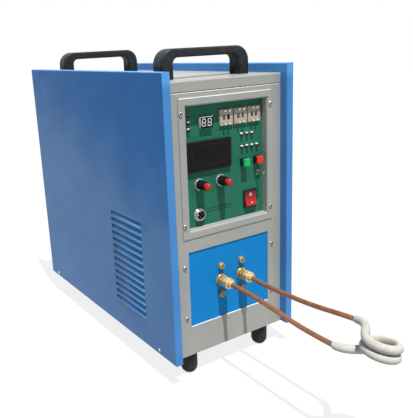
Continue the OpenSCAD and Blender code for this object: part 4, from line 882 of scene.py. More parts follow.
class HEATER_OT_screws(bpy.types.Operator):
    """Pan-head screws with a cross recess where the CAD screws are"""
    bl_idname = "heater.screws"
    bl_label = "Screws"

    # In millimetres: the nut's radius over its corners, and the head radius that only rivets have
    nut_r, rivet_r = 5.5, 2

    def execute(self, context):
        look = context.scene.heater_cabinet
        steel = metallic("Nickel plate", look.steel, tint(96, 94, 92), 0.3, 0.2, 0.02, 0.6)
        # Painted shade: the cross recess's walls and floor are near black
        recess = moulded("Cross recess painted shade", tint(18, 18, 20), 0.6, 0.1, 0.1)
        whole = bmesh.new()
        for points in solids("case_screws"):
            self.add_fastener(whole, points)
        piece("screw_set", whole, BODY, [steel, recess], ("case_screws",), 0)
        return {"FINISHED"}

    def add_fastener(self, whole, points):
        """A screw, or the nut of a rear screw, where the points of one CAD solid are."""
        low, high = corners(points)
        size = high - low
        axis = min(range(3), key=lambda k: abs(size[(k + 1) % 3] - size[(k + 2) % 3]))
        along = Vector([k == axis for k in range(3)])
        middle = (low + high) / 2

        def reach(level):
            return max((p - middle - (p - middle)[axis] * along).length
                       for p in points if abs(p[axis] - level) < 0.05 * MM)

        if max(reach(low[axis]), reach(high[axis])) > self.nut_r * MM - 0.5 * MM:
            middle[axis] = low[axis]
            nut = hexagon(2 * self.nut_r * math.cos(math.pi / 6), 0, size[axis] / MM, 0.5)
            join(whole, nut, Matrix.Translation(middle))
            return
        heads_up = sum(1 for p in points if p[axis] > middle[axis]) > len(points) / 2
        top = middle.copy()
        top[axis] = high[axis] if heads_up else low[axis]
        head_r = min(size[(axis + 1) % 3], size[(axis + 2) % 3]) / 2
        self.add_head(whole, aimed(top, along if heads_up else -along), head_r, size[axis])

    def add_head(self, whole, place, head_r, length):
        """Dome with a cross cut into it, in shares of its radius; local Z out, zero at its top."""
        under, end = -0.69, -length / head_r
        if head_r < self.rivet_r * MM:
            rivet = [(0, end), (0.6, end), (0.6, under), (1, under), (0.94, -0.4),
                     (0.66, -0.12), (0, 0)]
            join(whole, lathe(rivet, 24, head_r), place)
            return
        arm, half = 0.6 * head_r, 0.2 * head_r
        outline = []
        for turn in range(4):
            spin = Matrix.Rotation(turn * math.pi / 2, 2)
            outline += [spin @ Vector(p) for p in ((half, half), (half, arm), (-half, arm))]
        part = bmesh.new()
        cross = [part.verts.new((*p, -0.04 * head_r)) for p in outline]
        inner = [part.edges.new((cross[k], cross[(k + 1) % 12])) for k in range(12)]
        ring = bmesh.ops.create_circle(part, segments=24, radius=0.66 * head_r)["verts"]
        for vert in ring:
            vert.co.z = -0.08 * head_r
        outer = list({e for v in ring for e in v.link_edges})
        bmesh.ops.triangle_fill(part, use_beauty=True, edges=inner + outer)
        for radius, depth in ((0.86, 0.2), (0.97, 0.36), (1.0, 0.52), (1.0, 0.69)):
            ring = verts_in(bmesh.ops.extrude_edge_only(part, edges=outer))
            outer = edges_among(ring)
            for vert in ring:
                vert.co = Vector((vert.co.x, vert.co.y, 0)).normalized() * radius * head_r
                vert.co.z = -depth * head_r
        floor = verts_in(bmesh.ops.extrude_edge_only(part, edges=inner))
        for vert in floor:
            vert.co = Vector((vert.co.x * 0.8, vert.co.y * 0.8, -0.5 * head_r))
        beside = ([e.other_vert(corner) for e in corner.link_edges] for corner in cross)
        part.faces.new([next(v for v in floor if v in near) for near in beside])
        sunk = {f for v in floor for f in v.link_faces}
        join(whole, part, place, marked=sunk)
        shank = [(0, end), (0.5, end), (0.6, end + 0.1), (0.6, under), (1, under)]
        join(whole, lathe(shank, 16, head_r), place)


class HEATER_OT_board(bpy.types.Operator):
    """Green board with its printed lines and the marks round the knobs"""
    bl_idname = "heater.board"
    bl_label = "Control board"

    line_w, proud = 0.5 * MM, 0.06 * MM

    def execute(self, context):
        look = context.scene.heater_panel
        dress(painted("Board lacquer", look.board, 0.03, 0.4, 0.12), 0, "control_board")
        ink = moulded("Board print", look.print_ink, 0.6, 0.2, 0.2)
        whole = bmesh.new()
        self.rule_dials(whole)
        self.rule_screen(whole)
        self.dash_rows(whole)
        for name in KNOBS:
            self.tick_knob(whole, name)
        piece("board_print", whole, BODY, [ink], width=None)
        return {"FINISHED"}

    def rule(self, whole, x, z, width, height):
        size, centre = (width, self.proud, height), (x, BOARD_Y - self.proud / 2, z)
        join(whole, block(size, centre), flat=True)

    def rule_dials(self, whole):
        low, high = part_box("dial_housings")
        line_z = low.z - 5.5 * MM
        self.rule(whole, (low.x + high.x) / 2 - 3 * MM, line_z, high.x - low.x + 6 * MM,
                  self.line_w)
        for dial in DIALS:
            name = f"wheel_{dial}"
            middle = sum(c.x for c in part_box(name)) / 2
            self.rule(whole, middle, line_z + 2 * MM, self.line_w, 4 * MM)

    def rule_screen(self, whole):
        """Lines beside and over the screen, and to the right of each knob."""
        low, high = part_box("display_screen")
        self.rule(whole, high.x + 4.5 * MM, (low.z + high.z) / 2, self.line_w, high.z - low.z)
        self.rule(whole, low.x + 16 * MM, high.z + 7 * MM, 18 * MM, self.line_w)
        for (low, high), right, below, long in ((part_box("left_knob"), 13, 5, 16),
                                                (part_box("right_knob"), 11, 4, 12)):
            self.rule(whole, high.x + right * MM, low.z - below * MM, long * MM, self.line_w)

    def dash_rows(self, whole):
        """Short plain dashes where the board carries its printed notes."""
        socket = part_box("pedal_socket")[1]
        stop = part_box("stop_button")[0]
        long_row, short_row, knob_rows = range(14), range(5), range(3)
        for row in range(2):
            for step in long_row:
                self.rule(whole, socket.x + (6 + 3.3 * step) * MM, socket.z - (4 + 4.6 * row) * MM,
                          (1.5 + 0.4 * (step % 3)) * MM, 2.2 * MM)
            for step in short_row:
                self.rule(whole, stop.x - (6 + 3.4 * row) * MM, stop.z - (8 + 4 * step) * MM,
                          1.2 * MM, 1.2 * MM)
        for name in KNOBS:
            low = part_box(name)[0]
            for row in knob_rows:
                self.rule(whole, low.x - 4 * MM, low.z - (1 + 4.5 * row) * MM, 2.6 * MM, 1 * MM)

    def tick_knob(self, whole, name):
        """Ticks round a knob, longer at its ends and its middle."""
        low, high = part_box(name)
        x, z, reach = (low.x + high.x) / 2, (low.z + high.z) / 2, (high.x - low.x) / 2
        ticks, first, pitch = 11, 225, 27
        for step in range(ticks):
            angle = math.radians(first - pitch * step)
            long = 2.2 * MM if step % 5 == 0 else 1.4 * MM
            turn = Matrix.Translation((x, 0, z)) @ Matrix.Rotation(-angle, 4, "Y")
            out = Vector((reach + 2 * MM + long / 2, BOARD_Y - self.proud / 2, 0))
            join(whole, block((long, self.proud, 0.35 * MM)), turn @ Matrix.Translation(out),
                 flat=True)


class HEATER_OT_displays(bpy.types.Operator):
    """Process screen behind glass and the two-digit display"""
    bl_idname = "heater.displays"
    bl_label = "Displays"

    def execute(self, context):
        look = context.scene.heater_panel
        dress(moulded("Screen frame", look.screen, 0.4, 0.05, 0.12), 0.3 * MM, "display_screen")
        low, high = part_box("display_screen")
        rim, lift, sunk = 2.7 * MM, 0.35 * MM, 0.8 * MM
        whole = bmesh.new()
        join(whole, block((high.x - low.x - 2 * rim, 2 * lift, high.z - low.z - 2 * rim),
                          ((low.x + high.x) / 2, low.y + sunk - lift, (low.z + high.z) / 2),
                          0.15 * MM))
        border_low, border_high = Vector((9, 0, 9)) * MM, Vector((6, 0, 6)) * MM
        self.line_screen(whole, low + border_low, high - border_high, low.y + sunk - 2 * lift)
        piece("screen_glass", whole, BODY,
              [glassy("Screen glass", look.screen, 0.1, 0.08),
               moulded("Screen line", tint(42, 40, 46), 0.5, 0, 0.1)])
        self.make_digits()
        return {"FINISHED"}

    def line_screen(self, whole, low, high, front_y):
        """The fine border printed under the screen's glass."""
        middle, size, wide, thick = (low + high) / 2, high - low, 0.5 * MM, 0.1 * MM
        for side in (-1, 1):
            for bar, spot in (((size.x, thick, wide), (0, 0, side * size.z / 2)),
                              ((wide, thick, size.z), (side * size.x / 2, 0, 0))):
                centre = Vector((middle.x, front_y, middle.z)) + Vector(spot)
                join(whole, block(bar, centre), slot=1, flat=True)

    def make_digits(self):
        """White case, dark face and two digits of seven segments."""
        low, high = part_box("digit_display")
        middle = (low + high) / 2
        wide, tall, deep = high.x - low.x, high.z - low.z, high.y - low.y
        inset = 0.25 * MM
        whole = bmesh.new()
        join(whole, block((wide, deep - inset, tall),
                          (middle.x, middle.y + inset / 2, middle.z), 0.3 * MM))
        join(whole, block((wide - 0.4 * MM, inset, tall - 0.5 * MM),
                          (middle.x + 0.1 * MM, low.y + inset / 2, middle.z - 0.15 * MM)), slot=1)
        for side in (-1, 1):
            self.add_segments(whole, Vector((middle.x + (side * 5.1 - 0.3) * MM, low.y, middle.z)))
        white = moulded("Display white", tint(226, 226, 222), 0.4)
        face = moulded("Display face", tint(12, 12, 15), 0.35, 0.0, 0.08)
        piece("digit_module", whole, BODY, [white, face], ("digit_display",),
              None)

    def add_segments(self, whole, centre):
        half_w, half_h, bar, lift, lean = 2.75 * MM, 4.9 * MM, 1.1 * MM, 0.12, 0.09
        spots = [(0, s * half_h, 0) for s in (-1, 0, 1)]
        spots += [(x * half_w, z * half_h / 2, 1) for x in (-1, 1) for z in (-1, 1)]
        for x, z, upright in spots:
            long = (half_h if upright else 2 * half_w) - 0.5 * MM
            tip = bar / 2
            outline = [(-long / 2, 0), (tip - long / 2, -tip), (long / 2 - tip, -tip),
                       (long / 2, 0), (long / 2 - tip, tip), (tip - long / 2, tip)]
            turn = Matrix.Rotation(upright * (math.pi / 2 - lean), 4, "Z")
            place = outwards(centre + Vector((x + lean * z, 0, z))) @ turn
            join(whole, plate(outline, lift * MM), place, 0, True)
        dot = lathe([(0, lift), (0.5, lift), (0.5, 0)], 12)
        join(whole, dot, outwards(centre + Vector((half_w + 1.2 * MM, 0, -half_h))), 0, True)


class HEATER_OT_lamps(bpy.types.Operator):
    """Clear lamps with the emitter standing inside"""
    bl_idname = "heater.lamps"
    bl_label = "Lamps"

    # Share of its solid's length that a lamp shows, as its shadow in the photograph tells
    shown = 0.66

    def execute(self, context):
        whole = bmesh.new()
        for low, high, middle in solid_boxes("indicator_lamps"):
            flange_r = (high.x - low.x) / 2 / MM
            lamp_r, long = flange_r - 0.4, self.shown * (high.y - low.y) / MM
            place = outwards((middle.x, high.y, middle.z))
            dome = [(lamp_r * math.cos(a), long - lamp_r + lamp_r * math.sin(a))
                    for a in (math.radians(15 * k) for k in range(7))]
            bulb = [(0, 0), (flange_r, 0), (flange_r, 0.9), (flange_r - 0.1, 1), (lamp_r, 1)]
            join(whole, lathe(bulb + dome, 28), place)
            cup = [(0, 1.2), (1.5, 1.2), (1.5, 2.2), (0.9, 2.8), (0, 2.5)]
            join(whole, lathe(cup, 12), place, 1)
        emitter = moulded("Lamp emitter", tint(70, 34, 32), 0.4)
        piece("lamp_set", whole, BODY, [self.epoxy(), emitter],
              ("indicator_lamps",), None)
        return {"FINISHED"}

    def epoxy(self):
        """Clear epoxy, dark red, with a painted highlight in near white on its upper side."""
        material, tree, shader = bare_material("Lamp epoxy with painted glint", {"Roughness": 0.2,
                                                              "Transmission Weight": 0.15})
        faces = facing(tree)
        # Painted highlight: faces turned up and not straight out go near white
        lit = times(spread(faces[2], 0.1, 0.4), spread(faces[1], -0.75, -0.4))
        link(mix(tree, lit, tint(44, 22, 22), tint(250, 249, 246)), shader.inputs["Base Color"])
        return material


class HEATER_OT_dials(bpy.types.Operator):
    """Push-wheel dials: cream housings, buttons and the digits round each wheel"""
    bl_idname = "heater.dials"
    bl_label = "Dials"

    digit_h, thick = 5.4 * MM, 0.12 * MM

    def execute(self, context):
        look = context.scene.heater_panel
        cream = moulded("Dial plastic", look.dial, 0.42)
        pale = moulded("Button plastic", tint(214, 208, 192), 0.35)
        drum = moulded("Wheel plastic", tint(158, 152, 140), 0.5, 0.2, 0.3)
        ink = moulded("Digit ink", look.digit, 0.55, 0.1, 0.2)
        dress(cream, 0.35 * MM, "dial_housings")
        for name, shown in zip(DIALS, look.start_digits):
            dress(pale, 0.3 * MM, f"plus_{name}", f"minus_{name}")
            dress(drum, 0.15 * MM, f"wheel_{name}")
            self.add_digits(f"wheel_{name}", int(shown), ink)
        return {"FINISHED"}

    def add_digits(self, wheel, shown, ink):
        low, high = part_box(wheel)
        middle = (low + high) / 2
        radius = (high.z - low.z) / 2
        whole = bmesh.new()
        for place in range(10):
            part = glyphs(str((shown + place) % 10), self.digit_h, self.thick)
            long = [e for e in part.edges if e.calc_length() > 0.6 * MM]
            bmesh.ops.subdivide_edges(part, edges=long, cuts=2)
            turn = place * TAU / 10
            for vert in part.verts:
                angle = turn + vert.co.y / radius
                reach = radius + self.thick / 2 + vert.co.z
                vert.co = Vector((middle.x + vert.co.x * 0.9, middle.y - reach * math.cos(angle),
                                  middle.z + reach * math.sin(angle)))
            join(whole, part, flat=True)
        piece(f"digits_{wheel[-2:]}", whole, wheel, [ink], width=None)


class HEATER_OT_switches(bpy.types.Operator):
    """Start and stop buttons, power rocker and toggle switch"""
    bl_idname = "heater.switches"
    bl_label = "Switches"

    def execute(self, context):
        look = context.scene.heater_panel
        edge = context.scene.heater_cabinet.edge
        black = moulded("Black plastic", look.black, 0.38, 0.1, 0.2)
        dress(black, edge, "button_bodies", "rocker_frame")
        dress(moulded("Start cap", look.green_cap, 0.3, 0.1, 0.25), 0.35 * MM, "start_button")
        dress(moulded("Stop cap", look.red_cap, 0.3, 0.1, 0.25), 0.35 * MM, "stop_button")
        dress(self.rocker_red(look), 0.5 * MM, "rocker_switch")
        chrome = metallic("Chrome", tint(150, 146, 140), tint(92, 80, 68), 0.6, 0.24)
        dress(chrome, edge, "toggle_body")
        dress(chrome, 0, "toggle_lever")
        self.mark_rocker()
        return {"FINISHED"}

    def rocker_red(self, look):
        """Clear red moulding, painted darker towards its upper end as painted shade."""
        material, tree, shader = bare_material("Rocker red with painted shade", {"Specular IOR Level": 0.15})
        skin = place_group(tree, moulded_group, Plastic=look.rocker, Gloss=0.28, Scuff=0.1)
        low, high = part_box("rocker_switch")
        # Painted shade: the upper part is mixed towards a dark red
        depth = spread(axes(object_place(tree))[2], low.z + 0.3 * (high.z - low.z), high.z)
        link(mix(tree, depth, look.rocker, tint(84, 26, 32)), skin["Color"].node.inputs["Plastic"])
        finish(shader, skin, 0.03 * MM)
        return material

    def mark_rocker(self):
        """The plain O and I of a power switch, laid on the two faces of the rocker."""
        mesh = NODES["rocker_switch"].data
        front = sorted((f for f in mesh.polygons if f.normal.y < -0.7), key=lambda f: -f.area)
        white = moulded("Rocker mark", tint(238, 236, 232), 0.4)
        low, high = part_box("rocker_switch")
        middle_z = (low.z + high.z) / 2
        right = Vector((1, 0, 0))
        whole = bmesh.new()
        for side in (1, -1):
            half = [f for f in front if side * (f.center.z - middle_z) > 0]
            faces = [f for f in half if f.normal.angle(half[0].normal) < 0.02]
            spot = sum((f.center * f.area for f in faces), Vector()) / sum(f.area for f in faces)
            out = faces[0].normal.normalized()
            along = out.cross(right).normalized()
            if along.z < 0:
                along = -along
            if side > 0:
                mark = lathe([(1.5, 0), (2.3, 0), (2.3, 0.12), (1.5, 0.12), (1.5, 0)], 28)
            else:
                mark = block((0.9 * MM, 3.2 * MM, 0.12 * MM), (0.8 * MM, -1 * MM, 0.06 * MM))
            turn = Matrix((right, along, out)).transposed().to_4x4()
            join(whole, mark, Matrix.Translation(spot + out * 0.01 * MM) @ turn, flat=True)
        piece("rocker_marks", whole, "rocker_switch", [white], width=None)


class HEATER_OT_knobs(bpy.types.Operator):
    """Fluted black knobs with red caps over chrome rings"""
    bl_idname = "heater.knobs"
    bl_label = "Knobs"

    flutes, flute_depth = 20, 0.42

    def execute(self, context):
        look = context.scene.heater_panel
        chrome = metallic("Knob ring", tint(214, 214, 216), tint(140, 136, 130), 0.2, 0.14)
        dress(chrome, 0.4 * MM, "potentiometers")
        materials = [moulded("Knob black", look.black, 0.3, 0.1, 0.2),
                     moulded("Knob cap", tint(188, 42, 40), 0.7, 0.1, 0.05),
                     moulded("Knob pointer", tint(222, 150, 140), 0.4, 0.1, 0.2)]
        for name in KNOBS:
            self.make_knob(name, materials)
        return {"FINISHED"}

    def make_knob(self, name, materials):
        """Profiles in millimetres from the board's face, out along the knob's axis."""
        low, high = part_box(name)
        place = outwards(((low.x + high.x) / 2, BOARD_Y, (low.z + high.z) / 2))
        base, skirt_r, top = 3.3, (high.x - low.x) / 2 / MM, (BOARD_Y - low.y) / MM
        body_top, front_r, cap_r, steps = top - 4.5, skirt_r - 1, skirt_r - 2.5, 10
        shape = [(0, base), (skirt_r - 0.4, base), (skirt_r, base + 0.4), (skirt_r, base + 2),
                 (skirt_r - 0.25, base + 2.6)]
        shape += [(skirt_r + (front_r - skirt_r) * k / steps - 0.25,
                   base + 2.6 + (body_top - base - 3.4) * k / steps) for k in range(1, steps + 1)]
        shape += [(front_r - 0.7, body_top), (cap_r - 0.5, body_top), (0, body_top)]
        body = lathe(shape, self.flutes * 6)
        for vert in body.verts:
            reach = math.hypot(vert.co.x, vert.co.y) / MM
            if base + 2.9 < vert.co.z / MM < body_top - 0.1 and reach > cap_r:
                wave = 0.5 - 0.5 * math.cos(self.flutes * math.atan2(vert.co.y, vert.co.x))
                shrink = 1 - self.flute_depth * wave ** 2 / reach
                vert.co.x *= shrink
                vert.co.y *= shrink
        whole = bmesh.new()
        join(whole, body, place)
        cap = [(0, body_top - 0.3), (cap_r, body_top - 0.3), (cap_r, top - 1.1),
               (cap_r - 0.3, top - 0.45), (cap_r - 1, top - 0.1), (cap_r - 2.4, top),
               (0, top - 0.15)]
        join(whole, lathe(cap, 48), place, 1)
        pointer = block((1 * MM, 3.4 * MM, 0.3 * MM),
                        (0, (cap_r - 2.2) * MM, (top - 0.05) * MM), 0.1 * MM)
        join(whole, pointer, place, 2)
        join(whole, lathe([(0, -4), (3, -4), (3, base), (0, base)], 24), place)
        piece(f"{name}_moulding", whole, name, materials, (name,), 0)


class HEATER_OT_socket(bpy.types.Operator):
    """Foot pedal socket: plated shell, black insert and its contacts"""
    bl_idname = "heater.socket"
    bl_label = "Pedal socket"

    def execute(self, context):
        low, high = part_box("pedal_socket")
        place = outwards(((low.x + high.x) / 2, BOARD_Y, (low.z + high.z) / 2))
        flange_r, nose_r = (high.x - low.x) / 2 / MM, 8
        behind, proud = (BOARD_Y - high.y) / MM, (BOARD_Y - low.y) / MM
        shell = [(0, behind), (nose_r, behind), (nose_r, -3.6), (flange_r, -3.6),
                 (flange_r, -1.6), (nose_r, -1.6), (nose_r, 0), (flange_r, 0), (flange_r, 1.5),
                 (flange_r - 0.5, 2), (nose_r + 0.2, 2), (nose_r, 2.3)]
        shell += [(nose_r - 0.25 * (k % 2), 2.3 + 0.35 * k) for k in range(1, 9)]
        shell += [(nose_r - 0.2, proud - 0.3), (nose_r - 0.5, proud), (nose_r - 1.2, proud),
                  (nose_r - 1.4, proud - 0.3), (nose_r - 1.4, proud - 3), (0, proud - 3)]
        whole = bmesh.new()
        join(whole, lathe(shell, 56), place)
        insert = [(0, proud - 3), (nose_r - 1.45, proud - 3), (nose_r - 1.45, proud - 1.6),
                  (nose_r - 1.8, proud - 1.4), (0, proud - 1.4)]
        join(whole, lathe(insert, 48), place, 1)
        contact = [(0.3, -0.1), (0.55, -0.1), (0.55, 0.2), (0.3, 0.2), (0.3, -0.1)]
        for turn in range(4):
            way = Matrix.Rotation(turn * math.pi / 2, 4, "Z") @ Vector((nose_r / 2.4, 0, 0))
            spot = Matrix.Translation((way + Vector((0, 0, proud - 1.4))) * MM)
            join(whole, lathe(contact, 16), place @ spot)
        key = block((1.6 * MM, 1.3 * MM, 2.4 * MM),
                    (0, (nose_r - 1.9) * MM, (proud - 1.6) * MM), 0.2 * MM)
        join(whole, key, place)
        plated = metallic("Socket plating", tint(196, 194, 190), tint(128, 120, 110), 0.4, 0.22)
        black = moulded("Socket insert", tint(14, 14, 16), 0.5, 0.0, 0.1)
        piece("socket_shell", whole, BODY, [plated, black], ("pedal_socket",),
              0.12 * MM)
        return {"FINISHED"}


class HEATER_OT_terminals(bpy.types.Operator):
    """Brass fittings, flare nuts and domed terminal bolts"""
    bl_idname = "heater.terminals"
    bl_label = "Terminals"

    def execute(self, context):
        look = context.scene.heater_output
        brass = metallic("Brass", look.brass, tint(150, 112, 62), 0.3, 0.24, 0.02, 0.55)
        # Painted highlight: the nuts take a paler brass than the fittings
        pale = metallic("Nut brass with painted highlight", tint(222, 196, 148), tint(158, 124, 80), 0.4, 0.24, 0.02, 0.4)
        aged = metallic("Aged brass", tint(140, 112, 72), tint(100, 76, 48), 0.5, 0.45, 0.02, 0.3)
        dull = metallic("Dull brass", tint(176, 158, 122), tint(132, 112, 78), 0.4, 0.3, 0.02, 0.4)
        self.make_fittings(brass)
        self.make_nuts(pale)
        self.make_bolts(dull, aged)
        return {"FINISHED"}

    def make_fittings(self, brass):
        whole = bmesh.new()
        for low, high, middle in solid_boxes("output_terminals"):
            place = outwards((middle.x, PLATE_Y, middle.z))
            flange_r, inside = (high.x - low.x) / 2 / MM, (PLATE_Y - high.y) / MM
            washer = [(6, 0), (flange_r, 0), (flange_r, 1), (flange_r - 0.5, 1.5),
                      (flange_r - 0.6, 1.6), (flange_r - 0.6, 2.6), (flange_r - 1, 3), (6, 3),
                      (6, 0)]
            join(whole, lathe(washer, 56), place)
            join(whole, hexagon(16, 3, 9.5, 0.9), place)
            nose = [(0, inside), (6, inside), (6, 10)]
            nose += [(6 - 0.45 * (k % 2), 10 + 0.5 * k) for k in range(1, 11)]
            nose += [(4.6, 16.2), (3.5, 16.5), (0, 16.5)]
            join(whole, lathe(nose, 40), place)
        piece("terminal_fittings", whole, BODY, [brass], ("output_terminals",), 0)

    def make_nuts(self, brass):
        whole = bmesh.new()
        for low, high, middle in solid_boxes("flare_nuts"):
            place = outwards((middle.x, high.y, middle.z))
            long = (high.y - low.y) / MM
            hex_long = long - 6
            join(whole, hexagon(16, 0, hex_long, 0.9), place)
            collar = [(6.4, hex_long - 0.2), (6.3, hex_long + 0.8), (5.7, hex_long + 2.2),
                      (5.4, long - 0.8), (4.9, long - 0.2), (4.2, long), (3.65, long - 0.2),
                      (3.6, long - 2), (3.6, hex_long - 0.2), (6.4, hex_long - 0.2)]
            join(whole, lathe(collar, 48), place)
        piece("nut_pair", whole, BODY, [brass], ("flare_nuts",), 0)

    def make_bolts(self, brass, aged):
        whole = bmesh.new()
        for low, high, middle in solid_boxes("terminal_bolts"):
            place = outwards((middle.x, PLATE_Y, middle.z))
            washer_r, proud = (high.x - low.x) / 2 / MM, (PLATE_Y - low.y) / MM
            head_r, inside = washer_r - 0.5, (PLATE_Y - high.y) / MM
            washer = [(0, 0), (washer_r, 0), (washer_r, 0.8), (washer_r - 0.2, 1), (0, 1)]
            dome = [(0, 1), (head_r, 1), (head_r, 0.72 * proud), (head_r - 0.3, 0.88 * proud),
                    (head_r - 0.9, proud - 0.05), (head_r - 1.3, proud),
                    (head_r - 1.6, 0.92 * proud), (0, 0.9 * proud)]
            face = [(0, 0.88 * proud), (head_r - 1.6, 0.88 * proud), (head_r - 1.6, 0.93 * proud),
                    (0, 0.95 * proud)]
            shank = [(0, inside), (2.8, inside), (3, inside + 0.4), (3, 0)]
            for profile, steps, slot in ((washer, 40, 0), (dome, 40, 0), (face, 32, 1),
                                         (shank, 24, 0)):
                join(whole, lathe(profile, steps), place, slot)
        piece("bolt_set", whole, BODY, [brass, aged], ("terminal_bolts",), 0)


class HEATER_OT_coil(bpy.types.Operator):
    """Copper tube bent to the work coil, under its woven sleeve"""
    bl_idname = "heater.coil"
    bl_label = "Work coil"

    tube_sides, sleeve_sides = 20, 28
    # In millimetres: wave of both leads, sag of the right one, length of the sleeve's tight ends
    wave, sag, end_long = 0.8, 4.5, 3.2

    def execute(self, context):
        look = context.scene.heater_output
        inside = sleeve_route()
        route = (lead(-1, SLEEVE_LOW, self.wave, 0) + inside[1:-1]
                 + lead(1, SLEEVE_HIGH, self.wave, self.sag)[::-1])
        points = in_metres(route)
        radii = [TUBE_R * MM * (1 + 0.012 * noise.noise(p * 90)) for p in points]
        whole = bmesh.new()
        join(whole, sweep(points, radii, self.tube_sides))
        piece("bent_tube", whole, BODY, [self.copper(look)], ("copper_coil",), None)
        self.make_sleeve(look, in_metres(inside))
        return {"FINISHED"}

    def make_sleeve(self, look, points):
        """Woven tube over the copper, closed at both ends against a lining of the tube's size."""
        lengths = [0.0]
        for a, b in zip(points, points[1:]):
            lengths.append(lengths[-1] + (b - a).length)
        radii = []
        for place, run in zip(points, lengths):
            end = min(run, lengths[-1] - run)
            taper = 1 - 0.3 * math.exp(-end / (self.end_long * MM))
            radii.append(SLEEVE_R * MM * taper * (0.99 + 0.03 * noise.noise(place * 70)))
        part = sweep(points, radii, self.sleeve_sides, False)
        for vert in part.verts:
            vert.co += 0.14 * MM * noise.noise(vert.co * 210) * vert.normal
        merge(part, sweep(points, (TUBE_R + 0.12) * MM, self.sleeve_sides, False))
        for place in (points[0], points[-1]):
            edges = [e for e in part.edges if e.is_boundary
                     and (e.verts[0].co - place).length < 1.2 * SLEEVE_R * MM]
            bmesh.ops.bridge_loops(part, edges=edges)
        whole = bmesh.new()
        join(whole, part)
        obj = piece("woven_sleeve", whole, BODY, [self.woven(look)],
                    ("coil_sleeve",), None)
        smooth = obj.modifiers.new("Smooth", "SUBSURF")
        smooth.levels = smooth.render_levels = 1

    def copper(self, look):
        """Drawn copper, dark and streaked with heat, more so towards the coil."""
        material, tree, shader = bare_material("Copper", {"Metallic": 0.35})
        place = object_place(tree)
        near = spread(axes(place)[1], PLATE_Y - 40 * MM, LEAD_END * MM, 0.25, 0.8)
        metal = place_group(tree, metal_group,
                            Metal=look.copper, Tarnish=look.stain, Amount=0.5, Gloss=0.36)
        streaks = spread(noise_on(place, 55, 4, 0.6), 0.3, 0.7)
        colour = mix(tree, times(near, streaks, True), metal["Color"], look.stain)
        link(colour, shader.inputs["Base Color"])
        link(metal["Roughness"], shader.inputs["Roughness"])
        bump(shader, metal["Height"], 0.05 * MM)
        return material

    def woven(self, look):
        material, tree, shader = bare_material(
            "Glass-fibre braid", {"Roughness": 0.85, "Specular IOR Level": 0.2})
        weave = place_group(tree, braid_group, Yarn=look.sleeve, Scorch=look.scorch,
                            Pitch=look.braid, Scorched=0.35)
        link(mix(tree, self.ring_stain(tree), weave["Color"], look.scorch),
             shader.inputs["Base Color"])
        bump(shader, weave["Height"], 0.12 * MM)
        return material

    def ring_stain(self, tree):
        """Brown marks on the sleeve's inner side, where the hot work stands."""
        place = object_place(tree)
        value = place
        for operation, other in (("SUBTRACT", COIL_AXIS * MM),
                                 ("CROSS_PRODUCT", LEAN.normalized())):
            node = add(tree, "VectorMath", operation=operation)
            link(value, node.inputs[0])
            node.inputs[1].default_value = other
            value = node.outputs[0]
        reach = add(tree, "VectorMath", operation="LENGTH")
        link(value, reach.inputs[0])
        inside = spread(reach.outputs["Value"], (COIL_R - 1) * MM, (COIL_R - 4) * MM)
        marks = spread(noise_on(place, 75, 4, 0.6), 0.38, 0.6, 0.15, 0.85)
        return times(inside, marks)


class HEATER_OT_rear(bpy.types.Operator):
    """Fan, wire guard, water nozzles and cable gland at the back"""
    bl_idname = "heater.rear"
    bl_label = "Rear"

    # Radii of the rings as shares of the fan's bore, and the wire's thickness in the picture
    ring_shares, wire_share = (0.36, 0.58, 0.8, 1.02), 0.95
    bore_r, wire_r, ear_r = 57 * MM, 1.1 * MM, 5.5 * MM

    def execute(self, context):
        look = context.scene.heater_cabinet
        edge = look.edge
        fan = moulded("Fan plastic", tint(38, 39, 41), 0.45, 0.4, 0.4)
        dress(fan, 0.4 * MM, "fan_frame")
        dress(fan, 0.3 * MM, "fan_rotor")
        dress(moulded("Gland nylon", tint(30, 31, 33), 0.4, 0.3, 0.4), edge, "cable_gland")
        brass = metallic("Nozzle brass", context.scene.heater_output.brass, tint(150, 112, 62),
                         0.35, 0.3)
        dress(brass, edge, "water_nozzles")
        self.make_guard(metallic("Guard wire", look.steel, tint(130, 128, 124), 0.3, 0.2))
        return {"FINISHED"}

    def make_guard(self, steel):
        """Rings and four arms of round wire, with an eye at the end of each arm."""
        middle = (GUARD_LOW + GUARD_HIGH) / 2
        centre = Vector((middle.x, GUARD_LOW.y + self.wire_r, middle.z))
        corner = (GUARD_HIGH.x - middle.x - self.ear_r) * math.sqrt(2)
        inner = self.ring_shares[0] * self.bore_r
        arm = corner - self.ear_r + 1 * MM - inner
        lift = Vector((0, 0.15 * self.wire_r, 0))
        whole = bmesh.new()

        def add_ring(spot, radius, steps):
            route = [spot + radius * Vector((math.cos(TAU * k / steps), 0,
                                             math.sin(TAU * k / steps)))
                     for k in range(steps + 1)]
            join(whole, sweep(route, self.wire_share * self.wire_r, 8, False))

        for share in self.ring_shares:
            add_ring(centre, share * self.bore_r, 72)
        for turn in range(4):
            angle = math.pi / 4 + turn * math.pi / 2
            way = Vector((math.cos(angle), 0, math.sin(angle)))
            route = [centre + way * (inner + arm * k / 8) + lift for k in range(9)]
            join(whole, sweep(route, 0.9 * self.wire_r, 8))
            add_ring(centre + way * corner, self.ear_r - self.wire_r, 28)
        piece("guard_wires", whole, BODY, [steel], ("fan_guard",), None)


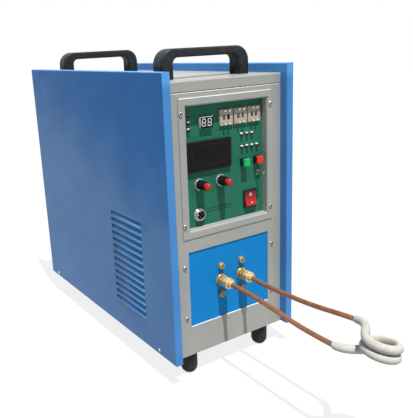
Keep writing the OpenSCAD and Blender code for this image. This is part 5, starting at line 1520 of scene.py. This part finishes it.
class HEATER_OT_inside(bpy.types.Operator):
    """What the cabinet holds: transformer, capacitors, heatsink, board and hoses"""
    bl_idname = "heater.inside"
    bl_label = "Inside"

    def execute(self, context):
        look = context.scene.heater_cabinet
        copper = metallic("Transformer", tint(176, 112, 70), tint(90, 70, 60), 0.5, 0.4)
        aluminium = metallic("Aluminium", tint(196, 198, 202), tint(150, 150, 152), 0.3, 0.35)
        dress(copper, 0.4 * MM, "output_transformer")
        dress(moulded("Capacitor can", tint(58, 95, 140), 0.35, 0.2), 0.5 * MM, "capacitor_bank")
        dress(aluminium, 0.2 * MM, "heatsink")
        dress(painted("Circuit board", tint(30, 96, 60), 0.1, 0.4, 0.35), 0.2 * MM,
              "inverter_board")
        dress(moulded("Hose rubber", look.rubber, 0.6, 0.4, 0.3), 0, "cooling_hoses")
        return {"FINISHED"}


class HEATER_PT_panel(bpy.types.Panel):
    """Steps that dress the machine"""
    bl_idname = "HEATER_PT_panel"
    bl_label = "Induction heater"
    bl_space_type = "VIEW_3D"
    bl_region_type = "UI"
    bl_category = "Heater"

    def draw(self, context):
        for step in STEPS:
            self.layout.operator(step.bl_idname)


SETTINGS = (("heater_cabinet", HeaterCabinet), ("heater_panel", HeaterPanel),
            ("heater_output", HeaterOutput), ("heater_studio", HeaterStudio))
STEPS = (HEATER_OT_studio, HEATER_OT_cabinet, HEATER_OT_screws, HEATER_OT_board,
         HEATER_OT_displays, HEATER_OT_lamps, HEATER_OT_dials, HEATER_OT_switches,
         HEATER_OT_knobs, HEATER_OT_socket, HEATER_OT_terminals, HEATER_OT_coil,
         HEATER_OT_rear, HEATER_OT_inside)


def register():
    for _, group_class in SETTINGS:
        bpy.utils.register_class(group_class)
    for name, group_class in SETTINGS:
        setattr(bpy.types.Scene, name, bpy.props.PointerProperty(type=group_class))
    for step in STEPS:
        bpy.utils.register_class(step)
    bpy.utils.register_class(HEATER_PT_panel)


def unregister():
    bpy.utils.unregister_class(HEATER_PT_panel)
    for step in reversed(STEPS):
        bpy.utils.unregister_class(step)
    for name, group_class in reversed(SETTINGS):
        delattr(bpy.types.Scene, name)
        bpy.utils.unregister_class(group_class)


def main():
    register()
    for step in STEPS:
        area, name = step.bl_idname.split(".")
        getattr(getattr(bpy.ops, area), name)()


if __name__ == "__main__":
    main()
